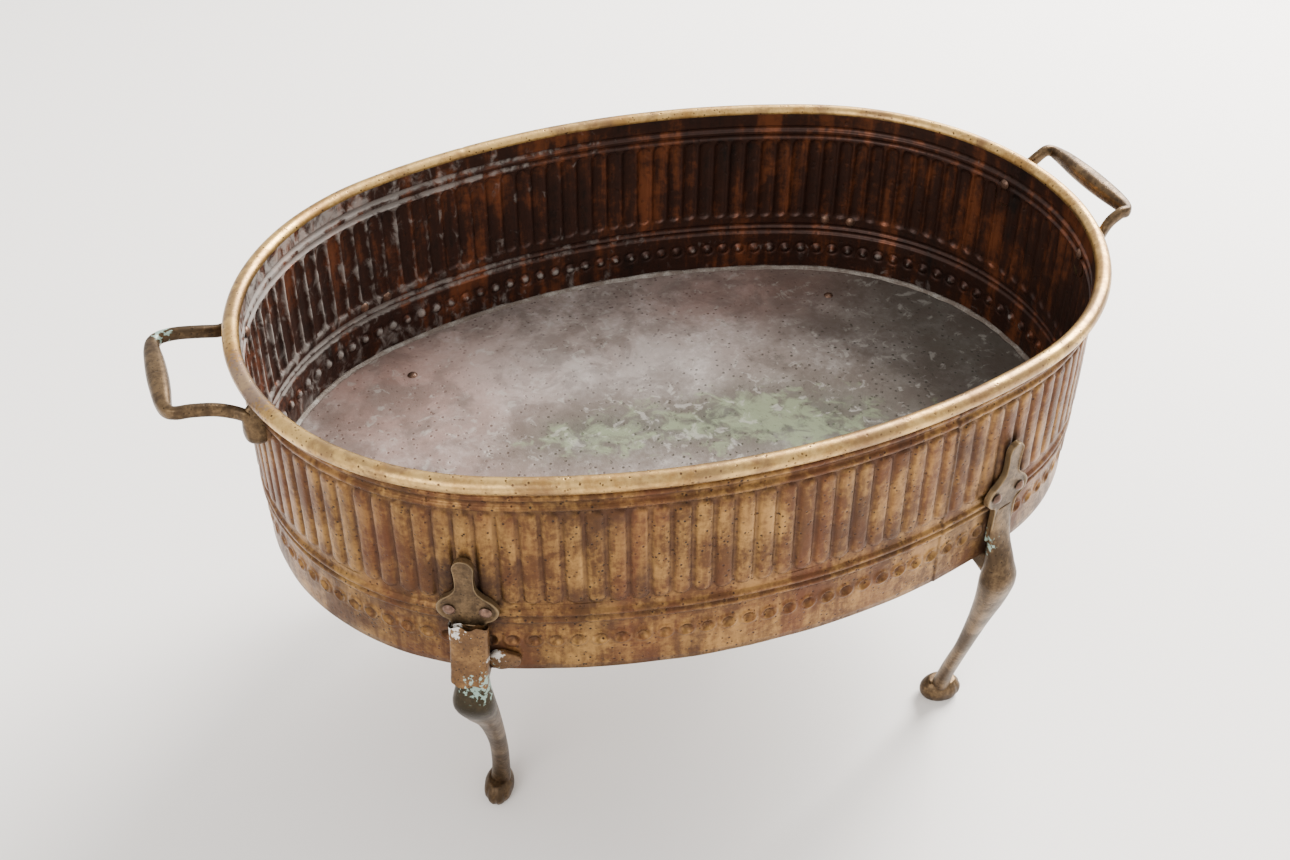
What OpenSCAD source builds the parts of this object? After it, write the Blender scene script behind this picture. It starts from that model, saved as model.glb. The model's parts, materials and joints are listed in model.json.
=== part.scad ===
// Oval footed planter pot in sheet brass, with riveted cast handles and cabriole legs.
// Units are millimetres, +Z is up, and the pot stands on z = 0 with the origin midway between its two grips.
// The long axis lies along X and the front is the -Y side.

/* [Oval] */
// Length of the rim, outside
rim_length = 444; // [360:1:560]
// Width of the rim, outside
rim_width = 312; // [250:1:400]
// How far each long side swells beyond the circles of the ends
side_swell = 15; // [8:1:30]

/* [Wall] */
// Height of the wall's lower edge above the ground
base_height = 149; // [110:1:190]
// Height of the body, from the wall's lower edge to the top of the rim
body_depth = 117; // [95:1:150]
// Thickness of the sheet brass
sheet = 1; // [0.7:0.05:1.2]
// How far the wall leans outwards from neck to lower edge
wall_flare = 3.4; // [0:0.1:8]
// Diameter of the rolled rim
rim_roll = 8; // [7:0.5:12]
// Diametral room between the rim wire and the roll
wire_fit = 0.1; // [0.05:0.05:0.3]

/* [Beads] */
// Height of each embossed bead
bead_rise = 1.4; // [0.6:0.1:2]
// Half the width of each embossed bead
bead_half = 1.7; // [1.2:0.1:2]
// Distance between the two beads of the neck
neck_bead_pitch = 5.6; // [4.2:0.1:8]
// Drop from the rim's centre to the upper neck bead
neck_bead_drop = 9.2; // [8:0.1:14]
// Distance between the two lower beads
low_bead_pitch = 4.1; // [4.1:0.1:8]
// Height of the lowest bead above the wall's lower edge
low_bead_height = 32; // [24:0.5:42]

/* [Floor] */
// Thickness of the floor plate
floor_sheet = 1.2; // [0.8:0.1:2]
// Height of the plate's underside above the wall's lower edge
floor_rise = 3; // [1:0.5:8]
// Gap between the floor plate and the wall all round
floor_fit = 0.2; // [0.1:0.05:0.5]
// Width of the solder run on the floor
solder_width = 3.2; // [2:0.2:6]
// Height of the solder run on the wall
solder_height = 3; // [2:0.2:6]

/* [Handles] */
// Distance from the rim's centre line to the middle of the left grip
reach_left = 34.5; // [26:0.5:50]
// Distance from the rim's centre line to the middle of the right grip, which is bent up and in
reach_right = 18.5; // [16:0.5:50]
// Height of the left grip above the rim's centre
rise_left = -6.5; // [-9:0.5:8]
// Height of the right grip above the rim's centre
rise_right = 3.5; // [-9:0.5:8]
// Angle from the long axis to each foot of the left handle
angle_left = 14.5; // [12:0.5:20]
// Angle from the long axis to each foot of the right handle
angle_right = 16.5; // [12:0.5:20]
// How much further out each grip's one end stands than its other
skew = 3; // [0:0.5:8]
// Radius of the grip at its thickest
grip_radius = 4.9; // [4:0.1:7]
// Half the height of the handle's flat arms
arm_radius = 3.2; // [2.5:0.1:4]
// Width of the arms as a part of their height
arm_flatness = 0.72; // [0.5:0.01:1]
// Radius of the drop-shaped lug's lower end
lug_radius = 6.5; // [5:0.5:9]
// How far each lug stands out from the wall
lug_thick = 8; // [5:0.5:10]
// Drop from the rim's centre to the lug's rivet
lug_drop = 14.5; // [13:0.5:20]
// Drop from the rivet to the middle of the lug's round end
lug_tail = 7; // [3:0.5:10]

/* [Legs] */
// Angle of the front left leg round the end, from the long axis
angle_front_left = 63.5; // [55:0.5:80]
// Angle of the front right leg round the end, from the long axis
angle_front_right = 70.8; // [55:0.1:80]
// Angle of the back left leg round the end, from the long axis
angle_back_left = 65; // [55:0.5:80]
// Angle of the back right leg round the end, from the long axis
angle_back_right = 60; // [55:0.5:80]
// How far the front left foot stands inside its plate
inset_front_left = 38; // [10:1:45]
// How far the front right foot stands inside its plate
inset_front_right = 24; // [10:1:45]
// How far each back foot stands inside its plate
inset_back = 31; // [10:1:45]
// How far the front left foot stands to the side of its plate
lean_front_left = -7; // [-16:1:16]
// How far the front right foot stands to the side of its plate
lean_front_right = 18; // [-20:1:20]
// How far each back foot stands to the side of its plate
lean_back = 0; // [-16:1:16]
// Turn of the front right foot, which is bent outwards
toe_turn = 60; // [-90:5:90]
// Thickness of the three-lobed plate
plate_thick = 3.2; // [2:0.2:5]
// Radius of the plate's side lobes
lobe_radius = 5.8; // [5:0.2:9]
// Radius of the plate's top lobe
tip_radius = 4.6; // [3.5:0.1:6]
// Height of the top lobe's centre above the rivets
tip_rise = 26; // [18:1:30]
// Width of the neck under the plate
neck_width = 14.5; // [12:0.5:20]
// How far the knee stands out from the plate's back
knee_out = 16; // [12:0.5:22]
// Drop from the wall's lower edge to the middle of the knee
knee_drop = 14; // [10:1:26]
// Width of the knee
knee_width = 20; // [14:0.5:24]
// Width of the ankle
ankle_width = 9.6; // [7:0.2:13]
// Length of the foot from heel to toe
foot_length = 24; // [18:0.5:32]
// Width of the foot
foot_width = 16; // [12:0.5:24]
// Height of the foot
foot_height = 13; // [10:0.5:24]
// Distance from the plate's back to the floor rivet
shelf_reach = 31; // [24:1:40]
// Width of the shelf under the floor
shelf_width = 13; // [10:1:18]
// Thickness of the shelf
shelf_thick = 4; // [3:0.5:6]

/* [Rivets] */
// Radius of every rivet's shank
rivet_radius = 2; // [1.5:0.1:2.5]
// Radius of every rivet's head
rivet_head = 2.9; // [2.7:0.1:3.2]
// Height of every rivet's head
rivet_dome = 1.5; // [1:0.1:2]
// Radial gap between a shank and its hole
rivet_fit = 0.08; // [0.04:0.02:0.2]
// Distance between the two wall rivets of a leg
rivet_gap = 16; // [13:0.5:20]

/* [Repair sleeve] */
// Thickness of the brazed sleeve on the front left leg
sleeve_thick = 2.2; // [1:0.2:3]
// How far the sleeve reaches past each side of the neck
sleeve_wrap = 1.6; // [1.2:0.2:3]
// Radius of the ear's round end
ear_round = 5.8; // [4:0.2:7]
// Length of the sleeve's ear along the wall
ear_length = 13; // [9:1:26]

/* [Hidden] */
$fn = 96;
eps = 0.05;                 // gap left between pieces that only rest on each other
seat_gap = 0.15;            // room under a flat head on a curved, leaning wall
big = 1000;

brass = [0.70, 0.55, 0.31];
rim_brass = [0.79, 0.68, 0.43];
cast_bronze = [0.50, 0.42, 0.30];
copper = [0.58, 0.45, 0.38];
solder_grey = [0.62, 0.58, 0.52];

// The oval is made of four arcs. Its reference line runs through the middle of the rolled rim.
rim_r = rim_roll / 2;
half_length = rim_length / 2 - rim_r;
half_width = rim_width / 2 - rim_r;
end_r = half_width - side_swell;
end_c = half_length - end_r;
side_r = (end_c * end_c + half_width * half_width - end_r * end_r) / (2 * side_swell);
side_c = side_r - half_width;
join_angle = atan2(side_c, end_c);

rim_z = base_height + body_depth - rim_r;
wire_r = rim_r - sheet - wire_fit / 2;
// The grips reach out unequally, so the oval's own centre stands this far from the middle of the whole
oval_x = (reach_left - reach_right) / 2;
low_bead_z = base_height + low_bead_height;
neck_bead_z = rim_z - neck_bead_drop;
floor_z = base_height + floor_rise;
floor_top = floor_z + floor_sheet;

// Offset of the middle of the sheet from the oval's reference line at height z
function skin(z) = sheet / 2 - rim_r + wall_flare * (rim_z - z) / (rim_z - base_height);
function outside(z) = skin(z) + sheet / 2;
function inside(z) = skin(z) - sheet / 2;

// Centre and radius of the arc whose outward normal points along angle g
function arc_centre(g) =
    cos(g) > cos(join_angle) ? [end_c, 0] :
    cos(g) < -cos(join_angle) ? [-end_c, 0] :
    sin(g) > 0 ? [0, -side_c] : [0, side_c];
function arc_radius(g) = abs(cos(g)) > cos(join_angle) ? end_r : side_r;
function oval_point(g, off) = arc_centre(g) + (arc_radius(g) + off) * [cos(g), sin(g)];

// Moves a finished piece so that the middle of the whole pot, handles included, stands on the origin
module centred() {
    translate([oval_x, 0, 0]) children();
}

// Local frame on the oval: +x points outwards, +y runs along the wall, z stays the height
module at_wall(g, off = 0) {
    p = oval_point(g, off);
    translate([p[0], p[1], 0]) rotate([0, 0, g]) children();
}

// Moves by v in whole, thousandth and finer steps, so that no digit of it is rounded away
module exactly(v) {
    whole = [for (x = v) round(x)];
    thousandth = [for (x = v - whole) round(x * 1000) / 1000];
    translate(whole) translate(thousandth) translate(v - whole - thousandth) children();
}

// Keeps what stands over a flat outline, at every height
module within(outline) {
    intersection() {
        children();
        translate([0, 0, -big]) linear_extrude(2 * big) polygon(outline);
    }
}

// Sweeps a profile round the oval; x in the profile is the offset from the reference line.
// Each arc is a whole ring, cut along the two lines that its centre shares with its neighbours'.
module around_oval() {
    near = [end_c, 0];
    far = near + 10 * [end_c, side_c];
    for (turn = [0, 180]) rotate([0, 0, turn]) {
        within([near, [far[0], -far[1]], [far[0] + big, -far[1]], [far[0] + big, far[1]], far])
            exactly([end_c, 0, 0]) rotate_extrude() exactly([end_r, 0, 0]) children();
        within([near, far, [-far[0], far[1]], -near])
            exactly([0, -side_c, 0]) rotate_extrude() exactly([side_r, 0, 0]) children();
    }
}

// Flat oval, grown by off beyond the reference line
module flat_oval(off) {
    strip = end_c + (end_r + off) * cos(join_angle);
    intersection() {
        translate([0, -side_c]) circle(side_r + off);
        translate([0, side_c]) circle(side_r + off);
        square([2 * strip, big], center = true);
    }
    for (s = [-1, 1]) translate([s * end_c, 0]) circle(end_r + off);
}

// Extrudes an outline drawn in (y, z) outwards along local +x, from x0 to x1
module outwards(x0, x1) {
    translate([x0, 0, 0]) rotate([90, 0, 90]) linear_extrude(x1 - x0) children();
}

// Band that follows the oval between two offsets and two heights
module band(off0, off1, z0, z1) {
    around_oval() translate([off0, z0]) square([off1 - off0, z1 - z0]);
}

// ---- body wall and rim ----

function bead(z) = [for (k = [0:6]) [z - bead_half * cos(30 * k), bead_rise * sin(30 * k)]];
bead_levels = [
    low_bead_z, low_bead_z + low_bead_pitch,
    neck_bead_z - neck_bead_pitch, neck_bead_z
];
wall_levels = concat(
    [[base_height, 0]],
    [for (z = bead_levels) each bead(z)],
    [[rim_z, 0]]
);
top_level = len(wall_levels) - 1;

module wall_profile() {
    polygon(concat(
        [for (l = wall_levels) [outside(l[0]) + l[1], l[0]]],
        [for (i = [top_level:-1:0]) let (l = wall_levels[i]) [inside(l[0]) + l[1], l[0]]]
    ));
    translate([0, rim_z]) difference() {
        circle(rim_r);
        circle(rim_r - sheet);
    }
}

module body_wall() {
    color(brass) centred() difference() {
        around_oval() wall_profile();
        for (l = LEGS) for (s = [-1, 1]) leg_rivet_place(l, s) shank_hole();
        for (h = HANDLES) for (s = [-1, 1]) lug_place(h, s) stud_hole();
    }
}

module rim_wire() {
    color(rim_brass) centred() around_oval() translate([0, rim_z]) circle(wire_r);
}

// ---- floor ----

module floor_plate() {
    color(copper) centred() difference() {
        translate([0, 0, floor_z]) linear_extrude(floor_sheet)
            flat_oval(inside(floor_z) - floor_fit);
        for (l = LEGS) floor_rivet_place(l)
            translate([0, 0, floor_z - 1]) cylinder(r = rivet_radius + rivet_fit, h = floor_sheet + 2);
    }
}

module floor_solder() {
    top = floor_top + solder_height;
    color(solder_grey) centred() around_oval() polygon([
        [inside(floor_top), floor_top],
        [inside(floor_top) - solder_width, floor_top],
        [inside(top) - solder_width / 5, top - solder_height / 5],
        [inside(top), top]
    ]);
}

// ---- rivets ----

module dome(r, h) {
    ball = (r * r + h * h) / (2 * h);
    intersection() {
        translate([0, 0, h - ball]) sphere(ball);
        cylinder(r = r, h = h);
    }
}

// Rivet along local +z: its lower head sits under z = 0 and its upper head on z = grip
module rivet(grip) {
    color(cast_bronze) {
        translate([0, 0, -eps]) cylinder(r = rivet_radius, h = grip + 2 * eps);
        translate([0, 0, grip]) dome(rivet_head, rivet_dome);
        mirror([0, 0, 1]) dome(rivet_head, rivet_dome);
    }
}

// Hole along local +x through a plate and the wall behind it
module shank_hole() {
    rotate([0, 90, 0])
        cylinder(r = rivet_radius + rivet_fit, h = 4 * plate_thick + 4 * sheet, center = true);
}

// Turns local +z outwards, for a rivet that starts on the inner face
module outward_rivet(inner, outer) {
    translate([inner, 0, 0]) rotate([0, 90, 0]) rivet(outer - inner);
}

// ---- legs ----

// Name, direction of the outward normal, foot inset, sideways lean, foot turn, has the repair sleeve
LEGS = [
    ["front_left", 180 + angle_front_left, inset_front_left, lean_front_left, 0, true],
    ["front_right", -angle_front_right, inset_front_right, lean_front_right, toe_turn, false],
    ["back_left", 180 - angle_back_left, inset_back, lean_back, 0, false],
    ["back_right", angle_back_right, inset_back, lean_back, 0, false]
];

leg_rivet_z = low_bead_z + low_bead_pitch + bead_half + rivet_head + 2 * seat_gap;
plate_back = outside(base_height) + eps + max(0, outside(low_bead_z) + bead_rise - outside(base_height));
plate_front = plate_back + plate_thick;
neck_top = leg_rivet_z - lobe_radius;
neck_low = base_height - knee_drop / 2;
limb_top = base_height + 12;
knee_z = base_height - knee_drop;
shelf_top = base_height - eps;
sleeve_low = base_height + 2.5;
sleeve_top = neck_top - 2;
ear_back = outside(base_height) + eps;

// The side lobes' rivets stand on the wall at this turn to each side of the leg's own direction
function rivet_turn(g) = asin(rivet_gap / 2 / (arc_radius(g) + plate_back));

module leg_rivet_place(l, s) {
    at_wall(l[1] + s * rivet_turn(l[1])) translate([0, 0, leg_rivet_z]) children();
}

module floor_rivet_place(l) {
    at_wall(l[1]) translate([plate_back - shelf_reach, 0, 0]) children();
}

// Three-lobed outline with its waist, drawn in (y, z), down to the foot of the neck.
// A shoulder between the side lobes and the waist is hollowed by a round cove on each side.
module plate_outline() {
    hip = lobe_radius + rivet_gap / 2;
    shoulder = hip * 0.8;
    belly = hip * 0.72;
    waist = tip_radius - 0.5;
    cove = (tip_rise - lobe_radius) * 0.62;
    taper = 0.5;
    neck_start = neck_top - 4;
    translate([0, leg_rivet_z + tip_rise]) circle(tip_radius);
    for (s = [-1, 1]) translate([s * rivet_gap / 2, leg_rivet_z]) circle(lobe_radius);
    translate([-waist, leg_rivet_z]) square([2 * waist, tip_rise]);
    difference() {
        translate([-shoulder, leg_rivet_z]) square([2 * shoulder, lobe_radius + cove * 0.75]);
        for (s = [-1, 1])
            translate([s * (waist + cove), leg_rivet_z + lobe_radius + cove * 0.86]) circle(cove);
    }
    polygon([
        [-belly, leg_rivet_z], [belly, leg_rivet_z],
        [neck_width / 2, neck_start], [neck_width / 2 - taper, neck_low],
        [-neck_width / 2 + taper, neck_low], [-neck_width / 2, neck_start]
    ]);
}

// Distance out of the limb's centre line, from the knee line at t = 0 to the foot at t = 1
function shin_out(inset, t) = plate_back + lerp(knee_out * 0.45, -inset, t);
// Stations up the limb, each in parts of the sizes above: height, distance out, half width, half depth
function limb_stations(inset) = [
    [foot_height * 0.75, shin_out(inset, 1), ankle_width * 0.56, ankle_width * 0.5],
    [foot_height * 1.6, shin_out(inset, 0.96), ankle_width * 0.5, ankle_width * 0.42],
    [knee_z * 0.3, shin_out(inset, 0.84), ankle_width * 0.49, ankle_width * 0.42],
    [knee_z * 0.46, shin_out(inset, 0.66), ankle_width * 0.5, knee_out * 0.25],
    [knee_z * 0.68, shin_out(inset, 0.39), ankle_width * 0.62, knee_out * 0.32],
    [knee_z * 0.86, shin_out(inset, 0.14), knee_width * 0.42, knee_out * 0.42],
    [knee_z, plate_back + knee_out * 0.5, knee_width * 0.5, knee_out * 0.5],
    [base_height - 3, plate_back + knee_out * 0.42, neck_width / 2 - 0.5, knee_out * 0.3],
    [limb_top, plate_back + plate_thick / 2, neck_width / 2 - 0.6, plate_thick / 2]
];

function lerp(a, b, t) = a + (b - a) * t;
// Smooth curve through four neighbouring stations, at t from 0 to 1 between the middle two
function spline(p0, p1, p2, p3, t) =
    0.5 * ((2 * p1) + (p2 - p0) * t + (2 * p0 - 5 * p1 + 4 * p2 - p3) * t * t
    + (3 * p1 - p0 - 3 * p2 + p3) * t * t * t);
function spline_row(rows, steps) = [
    for (i = [0:len(rows) - 2]) for (k = [0:steps - 1])
        spline(rows[max(i - 1, 0)], rows[i], rows[i + 1], rows[min(i + 2, len(rows) - 1)], k / steps),
    rows[len(rows) - 1]
];
// The foot, as more stations: a flattened, longish ball that ends in a flat sole
function foot_stations(inset) = [
    for (a = [-52, -36, -14, 8, 30, 52])
        let (z = foot_height * (0.44 + 0.56 * sin(a) / sin(52)))
        [max(z, 0), plate_back - inset, foot_width / 2 * cos(a * 0.96), foot_length / 2 * cos(a * 0.96)]
];
sides = 16;
function around(s, k) = [s[3] * cos(360 * k / sides), s[2] * sin(360 * k / sides)];
function turned(v, a) = [v[0] * cos(a) - v[1] * sin(a), v[0] * sin(a) + v[1] * cos(a)];
// Ring round the limb at station s: moved sideways more and more towards the foot, and turned
function ring(s, lean, turn) =
    let (side = lean * max(0, 1 - s[0] / knee_z))
    [for (k = [0:sides - 1]) let (v = turned(around(s, k), turn)) [s[1] + v[0], side + v[1], s[0]]];

// Closed skin over a stack of rings
module skin_over(rings) {
    n = len(rings);
    m = len(rings[0]);
    polyhedron(
        points = [for (r = rings) each r],
        faces = concat(
            [[for (k = [0:m - 1]) k]],
            [[for (k = [m - 1:-1:0]) (n - 1) * m + k]],
            [for (i = [0:n - 2]) for (k = [0:m - 1])
                [i * m + k, (i + 1) * m + k, (i + 1) * m + (k + 1) % m]],
            [for (i = [0:n - 2]) for (k = [0:m - 1])
                [i * m + k, (i + 1) * m + (k + 1) % m, i * m + (k + 1) % m]]
        )
    );
}

module limb(inset, lean, turn) {
    skin_over([for (s = spline_row(limb_stations(inset), 3)) ring(s, lean, 0)]);
    skin_over([for (s = foot_stations(inset)) ring(s, lean, turn)]);
}

// Shelf that runs inwards under the floor, with a boss up to the floor plate
module shelf() {
    end_x = plate_back - shelf_reach;
    knee_side = shelf_reach + knee_out * 0.4;
    translate([0, 0, shelf_top - shelf_thick]) {
        translate([end_x, 0, 0]) cylinder(d = shelf_width, h = shelf_thick);
        translate([end_x, -shelf_width / 2, 0])
            cube([knee_side, shelf_width, shelf_thick]);
        translate([end_x, 0, 0]) cylinder(r = rivet_head + 2, h = floor_z - eps - shelf_top + shelf_thick);
    }
    web = knee_drop * 0.8;
    translate([0, shelf_width * 0.35, 0]) rotate([90, 0, 0]) linear_extrude(shelf_width * 0.7) difference() {
        translate([plate_back - web, shelf_top - shelf_thick - web])
            square([web + knee_side - shelf_reach, web + 1]);
        translate([plate_back - web, shelf_top - shelf_thick - web]) circle(web);
    }
}

module leg(l) {
    color(cast_bronze) centred() difference() {
        union() {
            intersection() {
                band(plate_back, plate_front, neck_low - 1, leg_rivet_z + tip_rise + tip_radius + 1);
                at_wall(l[1]) outwards(-end_r / 4, end_r / 4) plate_outline();
            }
            at_wall(l[1]) {
                limb(l[2], l[3], l[4]);
                shelf();
            }
        }
        if (l[5]) sleeve_block(eps);
        for (s = [-1, 1]) leg_rivet_place(l, s) shank_hole();
        floor_rivet_place(l) translate([0, 0, knee_z])
            cylinder(r = rivet_radius + rivet_fit, h = floor_top - knee_z);
    }
}

module leg_rivet(l, s) {
    centred() leg_rivet_place(l, s)
        outward_rivet(inside(leg_rivet_z + rivet_head) - seat_gap, plate_front + eps);
}

module floor_rivet(l) {
    bottom = shelf_top - shelf_thick - eps;
    centred() floor_rivet_place(l) translate([0, 0, bottom]) rivet(floor_top + eps - bottom);
}

// Sleeve brazed over the neck, with one cheek and an ear that lies on the lower band of the wall
module sleeve_block(room) {
    half = neck_width / 2 + sleeve_wrap + room;
    core = plate_back + plate_thick / 2 - room;
    at_wall(LEGS[0][1]) translate([0, half, 0]) rotate([90, 0, 0]) linear_extrude(2 * half) polygon([
        [core, sleeve_low - room], [core, sleeve_top + room],
        [plate_front + sleeve_thick + room, sleeve_top + room],
        [plate_back + knee_out * 0.68 + sleeve_thick + room, sleeve_low - room]
    ]);
}

module repair_sleeve() {
    cheek = neck_width / 2 + 4 * eps;
    cheek_end = neck_width / 2 + sleeve_wrap;
    ear_end = cheek_end + ear_length - ear_round;
    color(brass) centred() {
        sleeve_block(0);
        at_wall(LEGS[0][1]) outwards(ear_back + eps, plate_back + plate_thick / 2 + 1)
            translate([cheek, sleeve_low + 0.5]) square([sleeve_wrap - 6 * eps, 2 * ear_round - 1]);
        intersection() {
            band(ear_back, ear_back + sleeve_thick, sleeve_low - 1, sleeve_low + 2 * ear_round + 1);
            at_wall(LEGS[0][1]) outwards(-end_r / 4, end_r / 4) {
                translate([cheek, sleeve_low]) square([ear_end - cheek, 2 * ear_round]);
                translate([ear_end, sleeve_low + ear_round]) circle(ear_round);
            }
        }
    }
}

// ---- handles ----

// Name, direction of the outward normal, angle to each foot, reach, rise, and the skew's own way
HANDLES = [
    ["left", 180, angle_left, reach_left, rise_left, skew],
    ["right", 0, angle_right, reach_right, rise_right, skew]
];
lug_z = rim_z - lug_drop;
lug_back = outside(neck_bead_z - neck_bead_pitch) + bead_rise + eps;
lug_front = lug_back + lug_thick;
lug_top = rim_z - rim_r - 0.4;
stud_end = lug_back + lug_thick * 0.6;

module lug_place(h, s) {
    at_wall(h[1] + s * h[2]) translate([0, 0, lug_z]) children();
}

// Route of half a handle, from its lug to the middle of the grip, for the end on +x.
// Between lug and grip each point is given as parts of the reach, of the rise and of the spread.
arm_steps = [[0.14, 0.52, 0.95], [0.37, 0.82, 0.91], [0.66, 1.03, 0.9], [0.87, 1.03, 0.88]];
grip_steps = [[0.97, 1, 0.78], [1, 1, 0.6], [1, 1, 0.3]];
function from_lug(h, out, z) =
    let (p = [end_c, 0] + (end_r + out) * [cos(h[2]), sin(h[2])]) [p[0], p[1], z];
function spread(h) = end_r * sin(h[2]);
function step_point(h, s) = let (grip_z = rim_z + h[4])
    [half_length + h[3] * s[0], spread(h) * s[2], lerp(lug_z, grip_z, s[1])];
function half_route(h) = concat(
    [from_lug(h, lug_back + lug_thick / 2, lug_z), from_lug(h, lug_front - 2.5, lug_z + lug_drop / 5)],
    [for (s = concat(arm_steps, grip_steps)) step_point(h, s)]
);
last_half = 1 + len(arm_steps) + len(grip_steps);
function mirrored(p) = [p[0], -p[1], p[2]];
function skewed(h, p) = p + [-h[5] * p[1] / spread(h) / 2 * max(0, p[0] - half_length) / h[3], 0, 0];
function route(h) = let (half = half_route(h)) concat(
    [for (p = half) skewed(h, p)],
    [for (i = [last_half:-1:0]) skewed(h, mirrored(half[i]))]
);

function unit(v) = v / norm(v);
// How far the bar has grown into the grip, from 0 in the arms to 1 in the middle
function grown(h, p) = pow(cos(90 * min(1, abs(p[1]) / spread(h) / 0.86)), 0.7);
facets = 12;
function bar_ring(h, p, t) =
    let (side = unit(cross([0, 0, 1], t)), up = cross(t, side), g = grown(h, p))
    let (r = lerp(arm_radius, grip_radius, g), w = r * lerp(arm_flatness, 1, g))
    [for (k = [0:facets - 1]) p + w * cos(360 * k / facets) * side + r * sin(360 * k / facets) * up];

module bar(h) {
    path = spline_row(route(h), 3);
    n = len(path) - 1;
    skin_over([for (i = [0:n]) bar_ring(h, path[i], unit(path[min(i + 1, n)] - path[max(i - 1, 0)]))]);
}

module lug_outline() {
    translate([0, lug_z - lug_tail]) circle(lug_radius);
    translate([-lug_radius, lug_z - lug_tail]) square([2 * lug_radius, lug_tail + 3]);
    translate([-arm_radius - 1, lug_z]) square([2 * arm_radius + 2, lug_drop]);
}

// Blind hole for the stud of a handle, from inside the wall into the lug
module stud_hole() {
    translate([-2 * lug_thick, 0, 0]) rotate([0, 90, 0])
        cylinder(r = rivet_radius + rivet_fit, h = 2 * lug_thick + stud_end + rivet_fit);
}

module handle(h) {
    color(cast_bronze) centred() difference() {
        union() {
            intersection() {
                band(lug_back, lug_front, lug_z - lug_tail - 2 * lug_radius, lug_top);
                for (s = [-1, 1]) at_wall(h[1] + s * h[2]) outwards(-end_r / 4, end_r / 4) lug_outline();
            }
            rotate([0, 0, h[1]]) bar(h);
        }
        for (s = [-1, 1]) lug_place(h, s) stud_hole();
    }
}

// Rivet with one head, on the inner face, and its shank buried in the lug
module handle_rivet(h, s) {
    inner = inside(lug_z + rivet_head) - seat_gap;
    color(cast_bronze) centred() lug_place(h, s) translate([inner, 0, 0]) rotate([0, 90, 0]) {
        mirror([0, 0, 1]) dome(rivet_head, rivet_dome);
        translate([0, 0, -eps]) cylinder(r = rivet_radius, h = stud_end - inner + eps);
    }
}

// ---- assembly ----

FRONT_BACK = [["front", -1], ["back", 1]];
LEFT_RIGHT = [["a", -1], ["b", 1]];

body_wall();
rim_wire();
floor_plate();
floor_solder();
repair_sleeve();
for (h = HANDLES) {
    handle(h);
    for (f = FRONT_BACK)
        handle_rivet(h, h[1] == 0 ? f[1] : -f[1]);
}
for (l = LEGS) {
    leg(l);
    for (s = LEFT_RIGHT)
        leg_rivet(l, s[1]);
    floor_rivet(l);
}
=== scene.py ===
# %% [markdown]
# # An oval brass planter on four legs
#
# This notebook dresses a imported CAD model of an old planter: a fluted wall of thin sheet brass with a
# rolled rim, a flat floor, two riveted handles and four cast legs. Each step says what the piece is,
# how it could be made, and why it is made this way here. All sizes are in metres, written as
# millimetres times `MM`, and the pot stands on z = 0 with its long axis along X.

import json
import math

import bmesh
import bpy
import numpy as np
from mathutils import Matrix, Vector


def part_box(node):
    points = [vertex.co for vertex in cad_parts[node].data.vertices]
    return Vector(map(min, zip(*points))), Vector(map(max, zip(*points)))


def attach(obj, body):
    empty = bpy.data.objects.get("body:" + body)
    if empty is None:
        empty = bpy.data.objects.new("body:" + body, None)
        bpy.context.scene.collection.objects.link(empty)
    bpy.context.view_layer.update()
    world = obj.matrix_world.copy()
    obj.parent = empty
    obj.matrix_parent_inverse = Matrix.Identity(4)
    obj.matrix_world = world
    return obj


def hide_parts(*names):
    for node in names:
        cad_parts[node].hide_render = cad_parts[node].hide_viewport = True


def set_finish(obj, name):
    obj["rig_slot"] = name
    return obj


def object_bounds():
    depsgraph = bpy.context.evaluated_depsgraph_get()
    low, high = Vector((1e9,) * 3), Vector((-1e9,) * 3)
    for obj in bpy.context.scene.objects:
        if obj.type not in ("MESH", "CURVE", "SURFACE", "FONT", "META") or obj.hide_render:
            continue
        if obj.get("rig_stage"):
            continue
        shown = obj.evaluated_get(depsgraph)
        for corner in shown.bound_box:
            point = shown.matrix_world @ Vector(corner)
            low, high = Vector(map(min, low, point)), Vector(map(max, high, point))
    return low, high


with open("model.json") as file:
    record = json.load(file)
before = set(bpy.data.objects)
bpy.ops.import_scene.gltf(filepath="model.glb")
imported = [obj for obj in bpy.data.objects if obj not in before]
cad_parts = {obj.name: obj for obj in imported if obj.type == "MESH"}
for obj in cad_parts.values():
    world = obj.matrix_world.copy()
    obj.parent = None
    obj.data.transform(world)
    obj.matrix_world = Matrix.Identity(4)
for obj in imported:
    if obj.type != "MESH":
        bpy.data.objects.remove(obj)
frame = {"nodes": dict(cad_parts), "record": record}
cad_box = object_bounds()
MM = 0.001
rng = np.random.default_rng(7)
print("CAD nodes:", len(frame["nodes"]))

# %% [markdown]
# ## The oval
# The pot's plan is a four-centre oval: two tight arcs at the ends and two wide arcs along the sides,
# which share a tangent where they meet. A stretched circle would be quicker, but its curvature changes
# everywhere, and real tinsmiths' ovals are laid out with a compass. Every piece that follows the wall
# asks this one curve where it is, by `t`, the share of the way round.

# %% The oval curve
wall_low, wall_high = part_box("body_wall")
floor_low, floor_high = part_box("floor_plate")
BASE_Z = wall_low.z
RIM_R = 4 * MM
RIM_Z = wall_high.z - RIM_R
FLOOR_TOP = floor_high.z
SHEET = 1 * MM
FLARE = 3.4 * MM
SWELL = 15 * MM

# The handles reach out unequally, so the oval's centre is not the object's own origin
OVAL_X = (wall_low.x + wall_high.x) / 2
half_length = (wall_high.x - wall_low.x) / 2 - RIM_R
half_width = wall_high.y - RIM_R
end_r = half_width - SWELL
end_c = half_length - end_r
side_r = (end_c**2 + half_width**2 - end_r**2) / (2 * SWELL)
side_c = side_r - half_width
join = math.atan2(side_c, end_c)

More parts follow.
